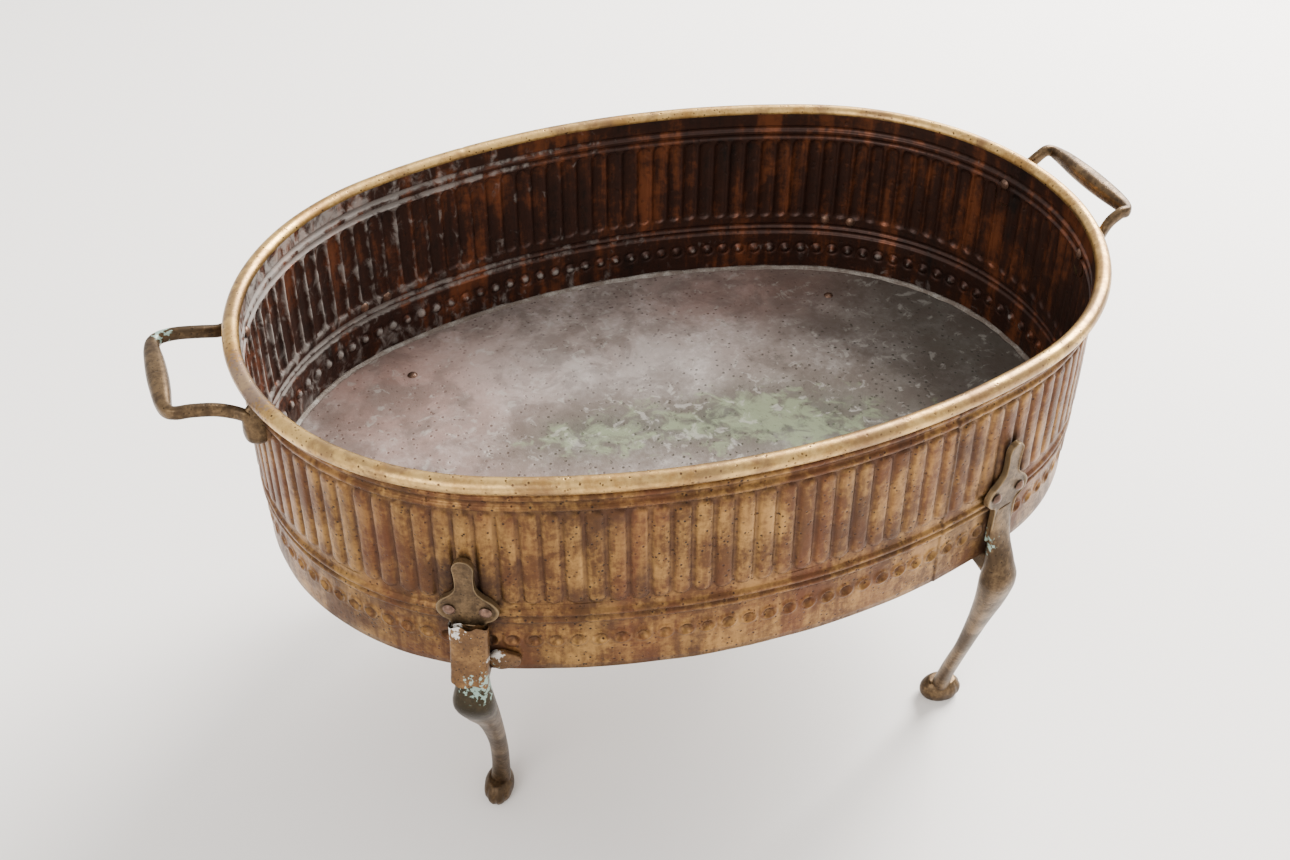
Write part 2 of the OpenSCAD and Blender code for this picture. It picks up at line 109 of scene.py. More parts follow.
# Each arc: centre x, centre y, radius, first and last direction of its outward normal
ARCS = np.array([
    [end_c, 0, end_r, -join, join],
    [0, -side_c, side_r, join, math.pi - join],
    [-end_c, 0, end_r, math.pi - join, math.pi + join],
    [0, side_c, side_r, math.pi + join, 2 * math.pi - join],
])
arc_ends = np.concatenate([[0], np.cumsum(ARCS[:, 2] * (ARCS[:, 4] - ARCS[:, 3]))])
GIRTH = arc_ends[-1]


def on_wall(t, off, z):
    """Points at share t of the girth, off outside the reference oval, at height z: the arc's centre plus
    (radius + off) along the normal, whose direction grows evenly with the length walked along the arc."""
    t, off, z = np.broadcast_arrays(np.asarray(t, float), off, z)
    walked = (t % 1) * GIRTH
    i = np.clip(np.searchsorted(arc_ends, walked, side="right") - 1, 0, 3)
    arc = ARCS[i]
    turn = arc[..., 3] + (walked - arc_ends[i]) / arc[..., 2]
    reach = arc[..., 2] + off
    return np.stack([arc[..., 0] + reach * np.cos(turn), arc[..., 1] + reach * np.sin(turn), z], -1)


def share_of(direction):
    """The share of the girth at which the outward normal points along a direction given in degrees."""
    turn = (math.radians(direction) + join) % (2 * math.pi) - join
    i = int(np.clip(np.searchsorted(ARCS[:, 4], turn), 0, 3))
    return (arc_ends[i] + (turn - ARCS[i, 3]) * ARCS[i, 2]) / GIRTH


def skin(z):
    """Offset of the middle of the sheet from the reference oval, which leans outwards towards the foot."""
    return SHEET / 2 - RIM_R + FLARE * (RIM_Z - z) / (RIM_Z - BASE_Z)


def beside(t, direction):
    """Distance along the wall from the place whose normal points along a direction in degrees."""
    return ((t - share_of(direction) + 0.5) % 1 - 0.5) * GIRTH


LEGS = {
    "front_left": dict(direction=243.5, inset=38 * MM, lean=-7 * MM, toe=0, bow=0.10),
    "front_right": dict(direction=-70.8, inset=24 * MM, lean=18 * MM, toe=60, bow=-0.14),
    "back_left": dict(direction=115, inset=31 * MM, lean=0, toe=0, bow=0.04),
    "back_right": dict(direction=60, inset=31 * MM, lean=0, toe=0, bow=0.04),
}
HANDLES = {"left": (180, 14.5), "right": (0, 16.5)}
print("girth of the oval:", round(GIRTH, 4), "m")

# %% [markdown]
# ## Surfaces from arrays
# A lathe or a bevelled curve would give smooth shapes, but not flutes that follow an oval. So each
# piece is a grid of points worked out by a formula, and one helper turns any grid into a mesh. The
# helper can close the grid round either way, weld its poles, and store a number on every point for
# the materials to read.

# %% Helpers for meshes
WELD_GAP = 0.002 * MM
made = []


def surface(name, points, node, slot, wrap_u=True, wrap_v=False, weld=False, **marks):
    """A mesh from a grid of points, shown in place of a CAD node. Its faces join neighbours along both
    grid directions and look outwards where u runs anticlockwise and v runs up. Each mark is stored as a
    number on every point."""
    rows, columns = points.shape[:2]
    points = points + np.array([OVAL_X, 0, 0])
    ids = np.arange(rows * columns).reshape(rows, columns)
    if wrap_u:
        ids = np.vstack([ids, ids[:1]])
    if wrap_v:
        ids = np.hstack([ids, ids[:, :1]])
    quads = np.stack([ids[:-1, :-1], ids[1:, :-1], ids[1:, 1:], ids[:-1, 1:]], -1).reshape(-1, 4)
    mesh = bpy.data.meshes.new(name)
    mesh.vertices.add(rows * columns)
    mesh.vertices.foreach_set("co", points.reshape(-1).astype(np.float32))
    mesh.loops.add(quads.size)
    mesh.loops.foreach_set("vertex_index", quads.reshape(-1).astype(np.int32))
    mesh.polygons.add(len(quads))
    mesh.polygons.foreach_set("loop_start", np.arange(0, quads.size, 4, dtype=np.int32))
    for mark, values in marks.items():
        layer = mesh.attributes.new(mark, "FLOAT", "POINT")
        values = np.broadcast_to(values, (rows, columns)).reshape(-1)
        layer.data.foreach_set("value", values.astype(np.float32))
    mesh.update(calc_edges=True)
    mesh.validate()
    mesh.polygons.foreach_set("use_smooth", np.ones(len(mesh.polygons), bool))
    piece = bpy.data.objects.new(name, mesh)
    bpy.context.scene.collection.objects.link(piece)
    if weld:
        close_poles(mesh)
    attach(piece, "root")
    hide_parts(node)
    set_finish(piece, slot)
    made.append(piece)


def tube(name, points, node):
    """A swept casting whose two ends are welded shut."""
    surface(name, points, node, "cast_brass", wrap_u=False, wrap_v=True, weld=True)


def close_poles(mesh):
    """Merges points that lie on one another and turns every face outwards."""
    bm = bmesh.new()
    bm.from_mesh(mesh)
    bmesh.ops.remove_doubles(bm, verts=bm.verts, dist=WELD_GAP)
    bmesh.ops.recalc_face_normals(bm, faces=bm.faces)
    bm.to_mesh(mesh)
    bm.free()


def smooth_path(points, steps):
    """A curve through points: a cubic between each two, whose slope at a point is half the step from the
    point before it to the point after it."""
    p = np.asarray(points, float)
    padded = np.vstack([p[:1], p, p[-1:]])
    t = np.linspace(0, 1, steps, endpoint=False)[:, None]
    parts = []
    for a, b, c, d in zip(padded[:-3], padded[1:-2], padded[2:-1], padded[3:]):
        line = b + (c - a) * t / 2
        parts.append(line + (2 * a - 5 * b + 4 * c - d) * t**2 / 2 + (3 * b - a - 3 * c + d) * t**3 / 2)
    return np.vstack(parts + [p[-1:]])


def ripple(a, b, count, low, high):
    """Soft unevenness from -1 to 1: a sum of waves with random directions and phases over a and b."""
    total = np.zeros(np.broadcast(a, b).shape)
    for _ in range(count):
        fa, fb, phase = rng.integers(low, high), rng.uniform(low, high), rng.uniform(0, 2 * math.pi)
        total += np.sin(2 * math.pi * (fa * a + fb * b) + phase)
    return total / count


def bell(away, half):
    """1 at no distance away, about a third at half, and soon 0: the exponential of minus the square."""
    return np.exp(-((away / half) ** 2))


def falling(value, end, length):
    """1 while a value is low, then a straight fall over a length to 0 where the value reaches its end."""
    return np.clip((end - value) / length, 0, 1)


print("helpers ready")

# %% [markdown]
# ## The wall
# The wall is one sheet, pressed from the inside, so whatever stands out on its outer face sinks in on
# its inner face. That is why a single `relief` function gives the height of both faces: two pairs of
# beads, a band of round-ended ribs, a row of ringed dimples, and the dents of long use. A displacement
# modifier could do this too, but then the two faces would drift apart. Two more functions say where the
# outside gets painted shade and dirt and where salts have dried inside, and the materials read both from the
# mesh.

# %% Relief of the sheet
FLUTES = 126
FLUTE_LOW = 191.5 * MM
FLUTE_HIGH = 245.2 * MM
RIB_RISE = 1.5 * MM
PEARLS = 121
PEARL_Z = 168.5 * MM
PEARL_DEPTH = 1.35 * MM
BEAD_RISE = 1.4 * MM
BEAD_HALF = 1.7 * MM
BEAD_LEVELS = np.array([181, 185.1, 247.2, 252.8]) * MM
COLUMNS = 14 * FLUTES
DENT_DEPTH = 0.22 * MM
DENT_FADE = 15 * MM
# Directions in degrees of the lap where the sheet's ends meet and of the joint in the rim
SEAM = -77
RIM_JOINT = 102
LAP_STEP = 0.5 * MM
# Painted shade round a plate, under it, and round a lug: middle height, half width, half height, crispness,
# strength
PLATE_SHADE = [(193 * MM, 17 * MM, 31 * MM, 6, 0.9), (157 * MM, 15 * MM, 12 * MM, 4, 0.7)]
LUG_SHADE = (245 * MM, 9.5 * MM, 15 * MM, 4, 1.0)


def rib(t, z):
    """1 on a rib's crest and 0 in the groove beside it. A rib ends in half circles above and below."""
    pitch = GIRTH / FLUTES
    half = 0.43 * pitch
    aside = ((t * FLUTES) % 1 - 0.5) * pitch
    past = np.maximum(np.maximum(z - (FLUTE_HIGH - half), (FLUTE_LOW + half) - z), 0)
    return np.clip(1 - (np.hypot(aside, past) / half) ** 3, 0, 1) ** 0.6


def pearl(t, z):
    """A dimple inside a low ring: a bell turned down, plus a thin bell round a circle."""
    aside = ((t * PEARLS) % 1 - 0.5) * GIRTH / PEARLS
    r = np.hypot(aside, z - PEARL_Z)
    return 0.55 * bell(r - 3.5 * MM, 0.8 * MM) - 1.1 * bell(r, 2.1 * MM)


def bead(z):
    """Height of the beads: each is half an ellipse across the sheet."""
    across = (z[..., None] - BEAD_LEVELS) / BEAD_HALF
    return np.sqrt(np.clip(1 - across**2, 0, 1)).sum(-1)


def relief(t, z):
    """Height of the pressed pattern above the plain sheet, with a step where the sheet's ends overlap."""
    up = z / GIRTH * 3
    dents = DENT_DEPTH * (ripple(t, up, 7, 5, 26) + ripple(t, up, 5, 30, 60) * 0.5)
    fade = falling(z, RIM_Z, DENT_FADE)
    past = beside(t, SEAM)
    lap = LAP_STEP * np.exp(-np.clip(past, 0, None) / (4 * MM)) * (past > 0)
    return RIB_RISE * rib(t, z) + PEARL_DEPTH * pearl(t, z) + BEAD_RISE * bead(z) + (dents + lap) * fade


def shade_halo(t, z, direction, mark):
    """Painted shade round one place on the wall: the higher the crispness, the sharper the oval halo's edge.
    """
    middle, wide, tall, crisp, strength = mark
    away = np.hypot(beside(t, direction) / wide, (z - middle) / tall)
    return strength * np.exp(-(away**crisp))


def shade_and_grime(t, z):
    """Painted shade round the plates and lugs, under the beads and under the rim, and dirt along the seam.
    """
    dirt_and_shade = 0.6 * bell(z - RIM_Z + RIM_R, 3 * MM) + 0.8 * bell(beside(t, SEAM), 0.9 * MM)
    for level in BEAD_LEVELS:
        dirt_and_shade = dirt_and_shade + 0.45 * bell(z - level + 2.3 * MM, 0.9 * MM)
    for leg in LEGS.values():
        for mark in PLATE_SHADE:
            dirt_and_shade = dirt_and_shade + shade_halo(t, z, leg["direction"], mark)
    for direction, angle in HANDLES.values():
        for way in (-1, 1):
            dirt_and_shade = dirt_and_shade + shade_halo(t, z, direction + way * angle, LUG_SHADE)
    return np.clip(dirt_and_shade, 0, 1)


def chalk(t, z):
    """Where white salts sit inside: at the left end, on pearls and beads, and down by the floor."""
    left = falling(on_wall(t, 0.0, z)[..., 0], 60 * MM, 230 * MM)
    low = falling(z, 200 * MM, 45 * MM)
    salts = 0.27 * left + 0.2 * low + (0.1 + 0.4 * left) * bead(z)
    salts = salts + (0.35 + 0.3 * left) * np.clip(-pearl(t, z), 0, 1)
    return np.clip(salts + 0.3 * left * (1 - rib(t, z)) * (z > 190 * MM), 0, 1)


def wall_band(name, heights, edge=False):
    """The outer and inner face of the wall between the first and last of some heights. With an edge, the
    outer face also turns in under the sheet to meet the inner one."""
    t = np.arange(COLUMNS)[:, None] / COLUMNS
    z = np.broadcast_to(heights, (COLUMNS, len(heights)))
    high = relief(t, z)
    outer = on_wall(t, skin(z) + SHEET / 2 + high, z)
    inner = on_wall(t, skin(z) - SHEET / 2 + high, z)
    # The third mark carries painted shade round plates, lugs, beads and rim, and dirt along the seam
    marks = {"crest": rib(t, z), "hollow": -pearl(t, z), "shade_and_grime": shade_and_grime(t, z)}
    if edge:
        outer = np.concatenate([inner[:, :1], outer], 1)
        marks = {mark: np.concatenate([v[:, :1], v], 1) for mark, v in marks.items()}
    surface(name + "_outside", outer, "body_wall", "sheet_brass", **marks)
    surface(name + "_inside", inner[::-1], "body_wall", "sheet_brass", chalk=chalk(t, z)[::-1])


def levels(*stretches):
    """Heights in millimetres: each stretch is (from, to, how many)."""
    return np.unique(np.concatenate([np.linspace(a, b, n) for a, b, n in stretches])) * MM


wall_band("wall_foot", levels((149, 162, 5), (162, 175.5, 24), (178, 188, 21), (188, 190.5, 2)), edge=True)
wall_band("wall_flutes", levels((190.5, 197, 12), (197, 240, 14), (240, 245.4, 11)))
wall_band("wall_neck", levels((245.4, 255, 24), (255, 262, 5)))
print("wall pieces:", len(made))

# %% [markdown]
# ## The rolled rim
# The top edge is rolled over a wire, so it reads as a smooth tube that sits on the wall. A tube swept
# round the oval is enough; a slow wobble of its radius keeps the highlight from running perfectly.

# %% Rim
RIM_COLUMNS = 1000
RIM_SIDES = 24


def rim_roll():
    """A circle of points at each place round the oval, as wide as the roll and a little uneven."""
    t = np.arange(RIM_COLUMNS)[:, None] / RIM_COLUMNS
    turn = 2 * math.pi * np.arange(RIM_SIDES)[None, :] / RIM_SIDES
    wobble = ripple(t, turn / (2 * math.pi), 8, 3, 40)
    joint = 0.05 * bell(beside(t, RIM_JOINT), 1.2 * MM) + 0.04 * bell(beside(t, SEAM), 1.2 * MM)
    r = RIM_R * (0.985 + 0.015 * wobble - joint)
    points = on_wall(t, r * np.cos(turn), RIM_Z + r * np.sin(turn))
    surface("rim_roll", points, "body_wall", "sheet_brass", wrap_v=True)


rim_roll()
print("rim:", RIM_COLUMNS * RIM_SIDES, "points")

# %% [markdown]
# ## The floor and its solder
# The floor is a thin plate that has settled into shallow waves. It is made of ovals that shrink
# towards the middle, out over the top and back underneath. The solder is a small three-sided run in
# the corner, wider in some places than in others, as a soldering iron leaves it.

# %% Floor
FLOOR_COLUMNS = 480
SOLDER_COLUMNS = 1200
SOLDER_REACH = 2.1 * MM
SOLDER_CLIMB = 1.9 * MM
# Stains on the floor and a painted sheen in the middle: strength, then middle x, middle y, half length and
# half width in millimetres
STAINS = {
    "green": [(1, 45, 0, 62, 34), (0.8, -50, 14, 50, 30), (0.6, 95, -35, 50, 30)],
    "pink": [(1, -130, 85, 75, 55), (0.9, 105, 112, 75, 30), (0.7, -130, -40, 60, 50)],
    "painted_sheen": [(1, -45, 88, 60, 38), (0.5, 20, 60, 60, 30)],
    "dark": [(0.5, -20, -60, 110, 30)],
}


def stains(x, y, patches):
    """The sum of soft oval patches: each is a bell over the distance from its middle in its own sizes."""
    total = 0
    for strength, px, py, rx, ry in patches:
        total = total + strength * bell(np.hypot((x - px * MM) / (rx * MM), (y - py * MM) / (ry * MM)), 1)
    return total


def floor_plate():
    """Ovals scaled towards the centre, with waves in their height; the underside is plain."""
    t = np.arange(FLOOR_COLUMNS)[:, None] / FLOOR_COLUMNS
    scale = np.linspace(0, 1, 70)[::-1]
    under = np.linspace(0, 1, 12)
    edge = on_wall(t, skin(FLOOR_TOP) - SHEET / 2 - 0.3 * MM, FLOOR_TOP)
    top = edge * scale[None, :, None]
    x, y = top[..., 0], top[..., 1]
    waves = ripple(x * 4, y * 4, 9, 1, 3) * 0.9 * MM + ripple(x * 9, y * 9, 9, 1, 4) * 0.25 * MM
    top[..., 2] = FLOOR_TOP - 0.2 * MM + waves * (1 - scale**6)
    bottom = edge * under[None, :, None]
    bottom[..., 2] = floor_low.z
    points = np.concatenate([bottom, top], 1)
    x, y = points[..., 0], points[..., 1]
    # Each stain, and the painted sheen in the middle, is stored as a mark on the floor's points
    marks = {mark: stains(x, y, patches) for mark, patches in STAINS.items()}
    marks["dark"] = marks["dark"] + np.clip((x - 60 * MM) / (110 * MM), 0, 1)
    marks = {mark: np.clip(values, 0, 1) for mark, values in marks.items()}
    surface("floor_sheet", points, "floor_plate", "floor_copper", weld=True, **marks)


def floor_solder():
    """A run whose toe on the floor and whose top on the wall wander."""
    t = np.arange(SOLDER_COLUMNS) / SOLDER_COLUMNS
    reach = SOLDER_REACH * (1 + 0.45 * ripple(t, t * 0, 12, 8, 90))
    climb = SOLDER_CLIMB * (1 + 0.4 * ripple(t, t * 0, 12, 8, 90))
    wall = skin(FLOOR_TOP) - SHEET / 2
    z0 = FLOOR_TOP - 0.6 * MM
    corners = [
        on_wall(t, wall + 0.1 * MM, z0),
        on_wall(t, wall + 0.1 * MM, FLOOR_TOP + climb),
        on_wall(t, wall - 0.3 * reach, FLOOR_TOP + 0.45 * climb),
        on_wall(t, wall - 0.7 * reach, FLOOR_TOP + 0.15 * climb),
        on_wall(t, wall - reach, FLOOR_TOP - 0.1 * MM),
        on_wall(t, wall - reach, z0),
    ]
    surface("solder_run", np.stack(corners, 1), "floor_solder", "solder", wrap_v=True)


floor_plate()
floor_solder()
print("floor and solder made")

# %% [markdown]
# ## Bars and limbs
# Handles and legs are castings whose section changes along their length. A bevelled curve keeps one
# section, so a sweep is used instead: at each point of a path stands a ring with its own width and
# height, squared off by a power between a circle and a box.

# %% Sweeps in a leg's or handle's own frame
LOW_OFF = skin(BASE_Z) + SHEET / 2
RING_SIDES = 32
UP = np.array([0, 0, 1])


def local_frame(direction):
    """Origin on the oval and the outward and sideways directions there."""
    origin = on_wall(share_of(direction), 0.0, 0.0)
    turn = math.radians(direction)
    out = np.array([math.cos(turn), math.sin(turn), 0])
    side = np.array([-math.sin(turn), math.cos(turn), 0])
    return origin, out, side


def place(points, direction):
    """Points given as (out, side, height) at a place on the oval."""
    origin, out, side = local_frame(direction)
    return origin + points[..., :1] * out + points[..., 1:2] * side + points[..., 2:] * UP


def bent(out, side, z, direction):
    """Points that follow the wall's curve: side is measured along the wall at the piece's own depth."""
    return on_wall(share_of(direction) + side / GIRTH, out, z)


def squared(power):
    """A ring of points on a squared-off circle, |x|^power + |y|^power = 1."""
    turn = 2 * math.pi * np.arange(RING_SIDES) / RING_SIDES
    c, s = np.cos(turn), np.sin(turn)
    size = (np.abs(c) ** power + np.abs(s) ** power) ** (-1 / power)
    return size * c, size * s


def sweep(path, wide, high, power, up=UP):
    """Squared-off rings set across a path, each with its width level and its height across that. Both
    ends shrink to a point."""
    along = np.gradient(path, axis=0)
    along /= np.linalg.norm(along, axis=1, keepdims=True)
    level = np.cross(up, along)
    level /= np.linalg.norm(level, axis=1, keepdims=True)
    above = np.cross(along, level)
    x, y = squared(power)
    across = wide[:, None, None] * x[None, :, None] * level[:, None]
    rings = path[:, None] + across + high[:, None, None] * y[None, :, None] * above[:, None]
    ends = [np.broadcast_to(path[i], (1, RING_SIDES, 3)) for i in (0, -1)]
    return np.concatenate([ends[0], rings, ends[1]], 0)


print("sweeps ready")

# %% [markdown]
# ## The handles
# A handle is a bar of flat section that swells into a round grip. The left one lies level; the right
# one has been bent up and in, so it has its own reach and height. Under the rim each arm grows out of
# a drop-shaped lug, which is a pillow over a drop outline: full in the middle, falling to the wall at
# its edge.

# %% Handles
GRIP_R = 4.9 * MM
ARM_HIGH = 3.2 * MM
ARM_WIDE = 2.3 * MM
LUG_DROP = 14.5 * MM
LUG_R = 6.5 * MM
LUG_TAIL = 7 * MM
LUG_THICK = 8 * MM
# The grip stands askew by this much over its length, and its corner then bulges out past its middle
SKEW = 3 * MM
BULGE = SKEW / 14
# Parts of the reach, of the climb from lug to grip, and of the sideways spread
ROUTE = np.array([
    [0.14, 0.52, 0.95], [0.37, 0.82, 0.91], [0.66, 1.03, 0.90], [0.87, 1.03, 0.88],
    [0.97, 1.00, 0.78], [1.00, 1.00, 0.60], [1.00, 1.00, 0.30],
])
lug_z = RIM_Z - LUG_DROP
lug_back = skin(247.2 * MM) + SHEET / 2 + BEAD_RISE
lug_front = lug_back + LUG_THICK


def handle_bar(side):
    """The bar of one handle: half a route from lug to grip, mirrored, and swept."""
    direction, angle = HANDLES[side]
    low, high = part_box("handle_" + side)
    tip = OVAL_X - low.x if side == "left" else high.x - OVAL_X
    reach = tip - half_length - GRIP_R - BULGE
    grip_z = high.z - GRIP_R
    spread = end_r * math.sin(math.radians(angle))
    starts = [
        [end_c + (end_r + off) * math.cos(math.radians(angle)), (end_r + off) * spread / end_r, z]
        for off, z in ((lug_back + LUG_THICK / 2, lug_z), (lug_front - 2.5 * MM, lug_z + LUG_DROP / 5))
    ]
    steps = np.stack([
        half_length + reach * ROUTE[:, 0],
        spread * ROUTE[:, 2],
        lug_z + (grip_z - lug_z) * ROUTE[:, 1],
    ], 1)
    half = np.vstack([starts, steps])
    route = np.vstack([half, half[::-1] * [1, -1, 1]])
    route[:, 0] -= SKEW * route[:, 1] / spread / 2 * np.maximum(route[:, 0] - half_length, 0) / reach
    path = smooth_path(route, 9)
    grown = np.cos(math.pi / 2 * np.minimum(1, np.abs(path[:, 1]) / spread / 0.86)) ** 0.7
    high_r = ARM_HIGH + (GRIP_R - ARM_HIGH) * grown
    wide_r = ARM_WIDE + (GRIP_R - ARM_WIDE) * grown
    _, out, across = local_frame(direction)
    points = sweep(path, wide_r, high_r, 2.7) @ np.stack([out, across, UP])
    tube(f"handle_{side}_bar", points, "handle_" + side)


def lug(side, way):
    """A pillow over a drop outline, bent to the wall."""
    direction, angle = HANDLES[side]
    turn = 2 * math.pi * np.arange(48)[:, None] / 48
    rise = np.sin(turn)
    wide = LUG_R * np.cos(turn) * np.where(rise > 0, 1 - 0.42 * rise, 1)
    tall = np.where(rise > 0, LUG_DROP + LUG_TAIL - RIM_R - 1.5 * MM, LUG_R) * rise
    part = np.concatenate([np.linspace(0, 0.8, 9), np.linspace(0.85, 1, 7), [1.0]])[None, :]
    out = lug_back + LUG_THICK * np.sqrt(np.clip(1 - part**3.2, 0, 1))
    out[:, -1] = lug_back - 1.5 * MM
    z = lug_z - LUG_TAIL + tall * part
    points = bent(out, wide * part, z, direction + way * angle)
    where = "front" if (way < 0) == (side == "right") else "back"
    surface(f"handle_{side}_lug_{where}", points[:, ::-1], "handle_" + side, "cast_brass", weld=True)


for side in HANDLES:
    handle_bar(side)
    for way in (-1, 1):
        lug(side, way)
print("handles made:", len(made), "pieces so far")

# %% [markdown]
# ## The legs
# A leg is a small cabriole leg: a three-lobed plate riveted to the wall, a knee that swells out below
# it, a thin shin that sweeps back under the pot, and a foot with toes. A shelf runs inwards under the
# floor and takes one more rivet. The plate is built of rings that shrink from its outline to its
# middle, so that a thin raised edge is only a change of height with the ring.

# %% Leg plates
PLATE_THICK = 3.2 * MM
RIVET_Z = 190 * MM
# Half the plate's outline from its top to its foot: distance aside, height above the rivets
OUTLINE = np.array([
    [0, 30.6], [2.6, 29.8], [4.6, 26.4], [4.3, 21.5], [4.2, 16.5], [4.9, 12.0],
    [7.6, 8.6], [11.2, 5.6], [13.7, 1.6], [13.6, -2.0], [11.4, -5.0],
    [8.6, -6.6], [7.4, -9.5], [7.2, -16.0], [6.9, -24.0], [6.4, -32.0],
]) * MM
plate_back = skin(181 * MM) + SHEET / 2 + BEAD_RISE + 0.1 * MM


def plate(name, direction):
    """Rings between the outline and a spine up the middle; the face dips inside a thin raised edge."""
    half = smooth_path(OUTLINE, 6)
    ring = np.vstack([half[:-1], [[0, half[-1, 1]]], (half[:-1] * [-1, 1])[::-1]])
    part = np.concatenate([[1.0, 1.0, 0.985, 0.95, 0.9, 0.86], np.linspace(0.82, 0, 8)])[None, :]
    depth = np.concatenate([[0, 2.6, 3.1, 3.2, 3.1, 2.75], np.full(8, 2.65)])[None, :] * MM
    spine = np.clip(ring[:, 1:2], -30 * MM, 25 * MM)
    aside = ring[:, :1] * part
    z = RIVET_Z + spine + (ring[:, 1:2] - spine) * part
    points = bent(plate_back + depth, aside, z, direction)
    edge = np.clip((part - 0.86) * 10, 0, 1)
    surface(f"leg_{name}_plate", points, "leg_" + name, "cast_brass", weld=True, edge=edge)


# %% [markdown]
# The limb's rings lie level instead of across its path, as in a turned stack of slices, because the
# sole has to be flat and the top has to run into the plate. The foot is a flattened ball whose radius
# dips in a few places in front, which leaves toes.

# %% Limbs, feet and shelves
BOSS_R = 4.9 * MM
KNEE_OUT = 16 * MM
KNEE_Z = BASE_Z - 14 * MM
# The foot's widest level is given as a share of its height
FOOT = dict(length=24 * MM, width=16 * MM, height=13 * MM, belly=0.44)
SOLE_ANGLE = 52
TOE_GROOVE = 0.085
# In millimetres: height, place between knee line (0) and foot (1), half width, half depth
LIMB = [
    (9, 1.0, 5.6, 5.0), (21, 0.96, 4.9, 4.2), (40, 0.84, 4.7, 4.1), (62, 0.66, 4.8, 4.0),
    (92, 0.39, 6.0, 5.1), (116, 0.14, 8.4, 6.8), (KNEE_Z / MM, -0.02, 9.8, 8.0),
]
# The same above the knee, but with the height above the wall's foot and the distance out from the plate
NECK = [(-3, 6.7, 8.0, 6.3), (9, 3.6, 7.6, 3.4), (20, 2.2, 7.3, 1.9), (32, 1.6, 7.0, 1.2)]


def shin_out(inset, part):
    """Distance out of the leg's centre line, from the knee line at 0 to the foot at 1."""
    return plate_back + KNEE_OUT * 0.45 + (-inset - KNEE_OUT * 0.45) * part


def limb(name, direction, inset, lean, bow):
    """Level rings up the leg; bow carries the shin further in than its two ends at the middle."""
    rows = []
    for z, part, wide, deep in LIMB:
        out = shin_out(inset, part + bow * math.sin(math.pi * z * MM / KNEE_Z))
        rows.append((z * MM, out, wide * MM, deep * MM))
    for z, out, wide, deep in NECK:
        rows.append((BASE_Z + z * MM, plate_back + out * MM, wide * MM, deep * MM))
    z, out, wide, deep = smooth_path(rows, 7).T[:, :, None]
    x, y = squared(2.3)
    aside = lean * np.maximum(0, 1 - z / KNEE_Z) ** (2 if lean < 0 else 1)
    points = np.stack(np.broadcast_arrays(out + deep * x, aside + wide * y, z), -1)
    caps = [np.broadcast_to(points[i].mean(0), (1, RING_SIDES, 3)) for i in (0, -1)]
    points = np.concatenate([caps[0], points, caps[1]], 0)
    tube(f"leg_{name}_limb", place(points, direction), "leg_" + name)


def foot(name, direction, inset, lean, toe):
    """A flattened ball cut flat below, with grooves between its toes in front."""
    around = 2 * math.pi * np.arange(64)[:, None] / 64
    up = np.radians(np.linspace(-SOLE_ANGLE, 90, 30))[None, :]
    front = np.clip(np.cos(around), 0, 1) ** 0.6
    toes = 1 - TOE_GROOVE * front * np.abs(np.cos(around * 4.5)) ** 8 * np.clip(np.cos(up), 0, 1)
    high = np.sin(up) / math.sin(math.radians(SOLE_ANGLE))
    z = FOOT["height"] * np.clip(FOOT["belly"] + (1 - FOOT["belly"]) * high, 0, 1)
    spread = np.cos(up * 0.96) * toes
    a = FOOT["length"] / 2 * np.cos(around) * spread
    b = FOOT["width"] / 2 * np.sin(around) * spread
    turn = math.radians(toe)
    points = np.stack([
        plate_back - inset + a * math.cos(turn) - b * math.sin(turn),
        lean + a * math.sin(turn) + b * math.cos(turn),
        np.broadcast_to(z, a.shape),
    ], -1)
    sole = np.broadcast_to(points[:, :1].mean(0, keepdims=True), (64, 1, 3))
    crown = np.broadcast_to(points[:, -1:].mean(0, keepdims=True), (64, 1, 3))
    points = np.concatenate([sole, points, crown], 1)
    surface(f"leg_{name}_foot", place(points, direction), "leg_" + name, "cast_brass", weld=True)


def shelf(name, direction):
    """A flat bar under the floor that deepens into a web behind the knee."""
    low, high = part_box("floor_rivet_" + name)
    centre = np.array([(low.x + high.x) / 2 - OVAL_X, (low.y + high.y) / 2, 0])
    origin, out, _ = local_frame(direction)
    rivet_out = float((centre - origin) @ out)
    end = rivet_out - 6.5 * MM
    path_x = np.concatenate([
        [end, end + 3 * MM, rivet_out + 8 * MM], plate_back + np.array([-10, -3, 3]) * MM,
    ])
    tall = np.array([4, 4, 4, 6.5, 10, 14]) * MM
    wide = np.array([5, 6.5, 6.5, 6, 5.5, 5]) * MM
    top = BASE_Z - 0.1 * MM
    rows = smooth_path(np.stack([path_x, tall, wide], 1), 5)
    path = np.stack([rows[:, 0], np.zeros(len(rows)), top - rows[:, 1] / 2], 1)
    points = sweep(path, rows[:, 2], rows[:, 1] / 2, 6)
    tube(f"leg_{name}_shelf", place(points, direction), "leg_" + name)
    ends = np.array([[rivet_out, 0, top - 2 * MM], [rivet_out, 0, floor_low.z - 0.1 * MM]])
    radius = np.full(2, BOSS_R)
    boss = sweep(place(ends, direction), radius, radius, 2, up=(1, 0, 0))
    tube(f"leg_{name}_boss", boss, "leg_" + name)


for name, leg in LEGS.items():
    plate(name, leg["direction"])
    limb(name, leg["direction"], leg["inset"], leg["lean"], leg["bow"])
    foot(name, leg["direction"], leg["inset"], leg["lean"], leg["toe"])
    shelf(name, leg["direction"])
print("legs made:", len(made), "pieces so far")

# %% [markdown]
# ## The repair sleeve
# Somebody once mended the front left leg with a strip of brass bent round its neck and brazed on, with
# an ear that lies on the wall. The strip is a bent sheet: one direction follows the bend from cheek to
# cheek, the other runs down the leg, and hammer marks push it in here and there.

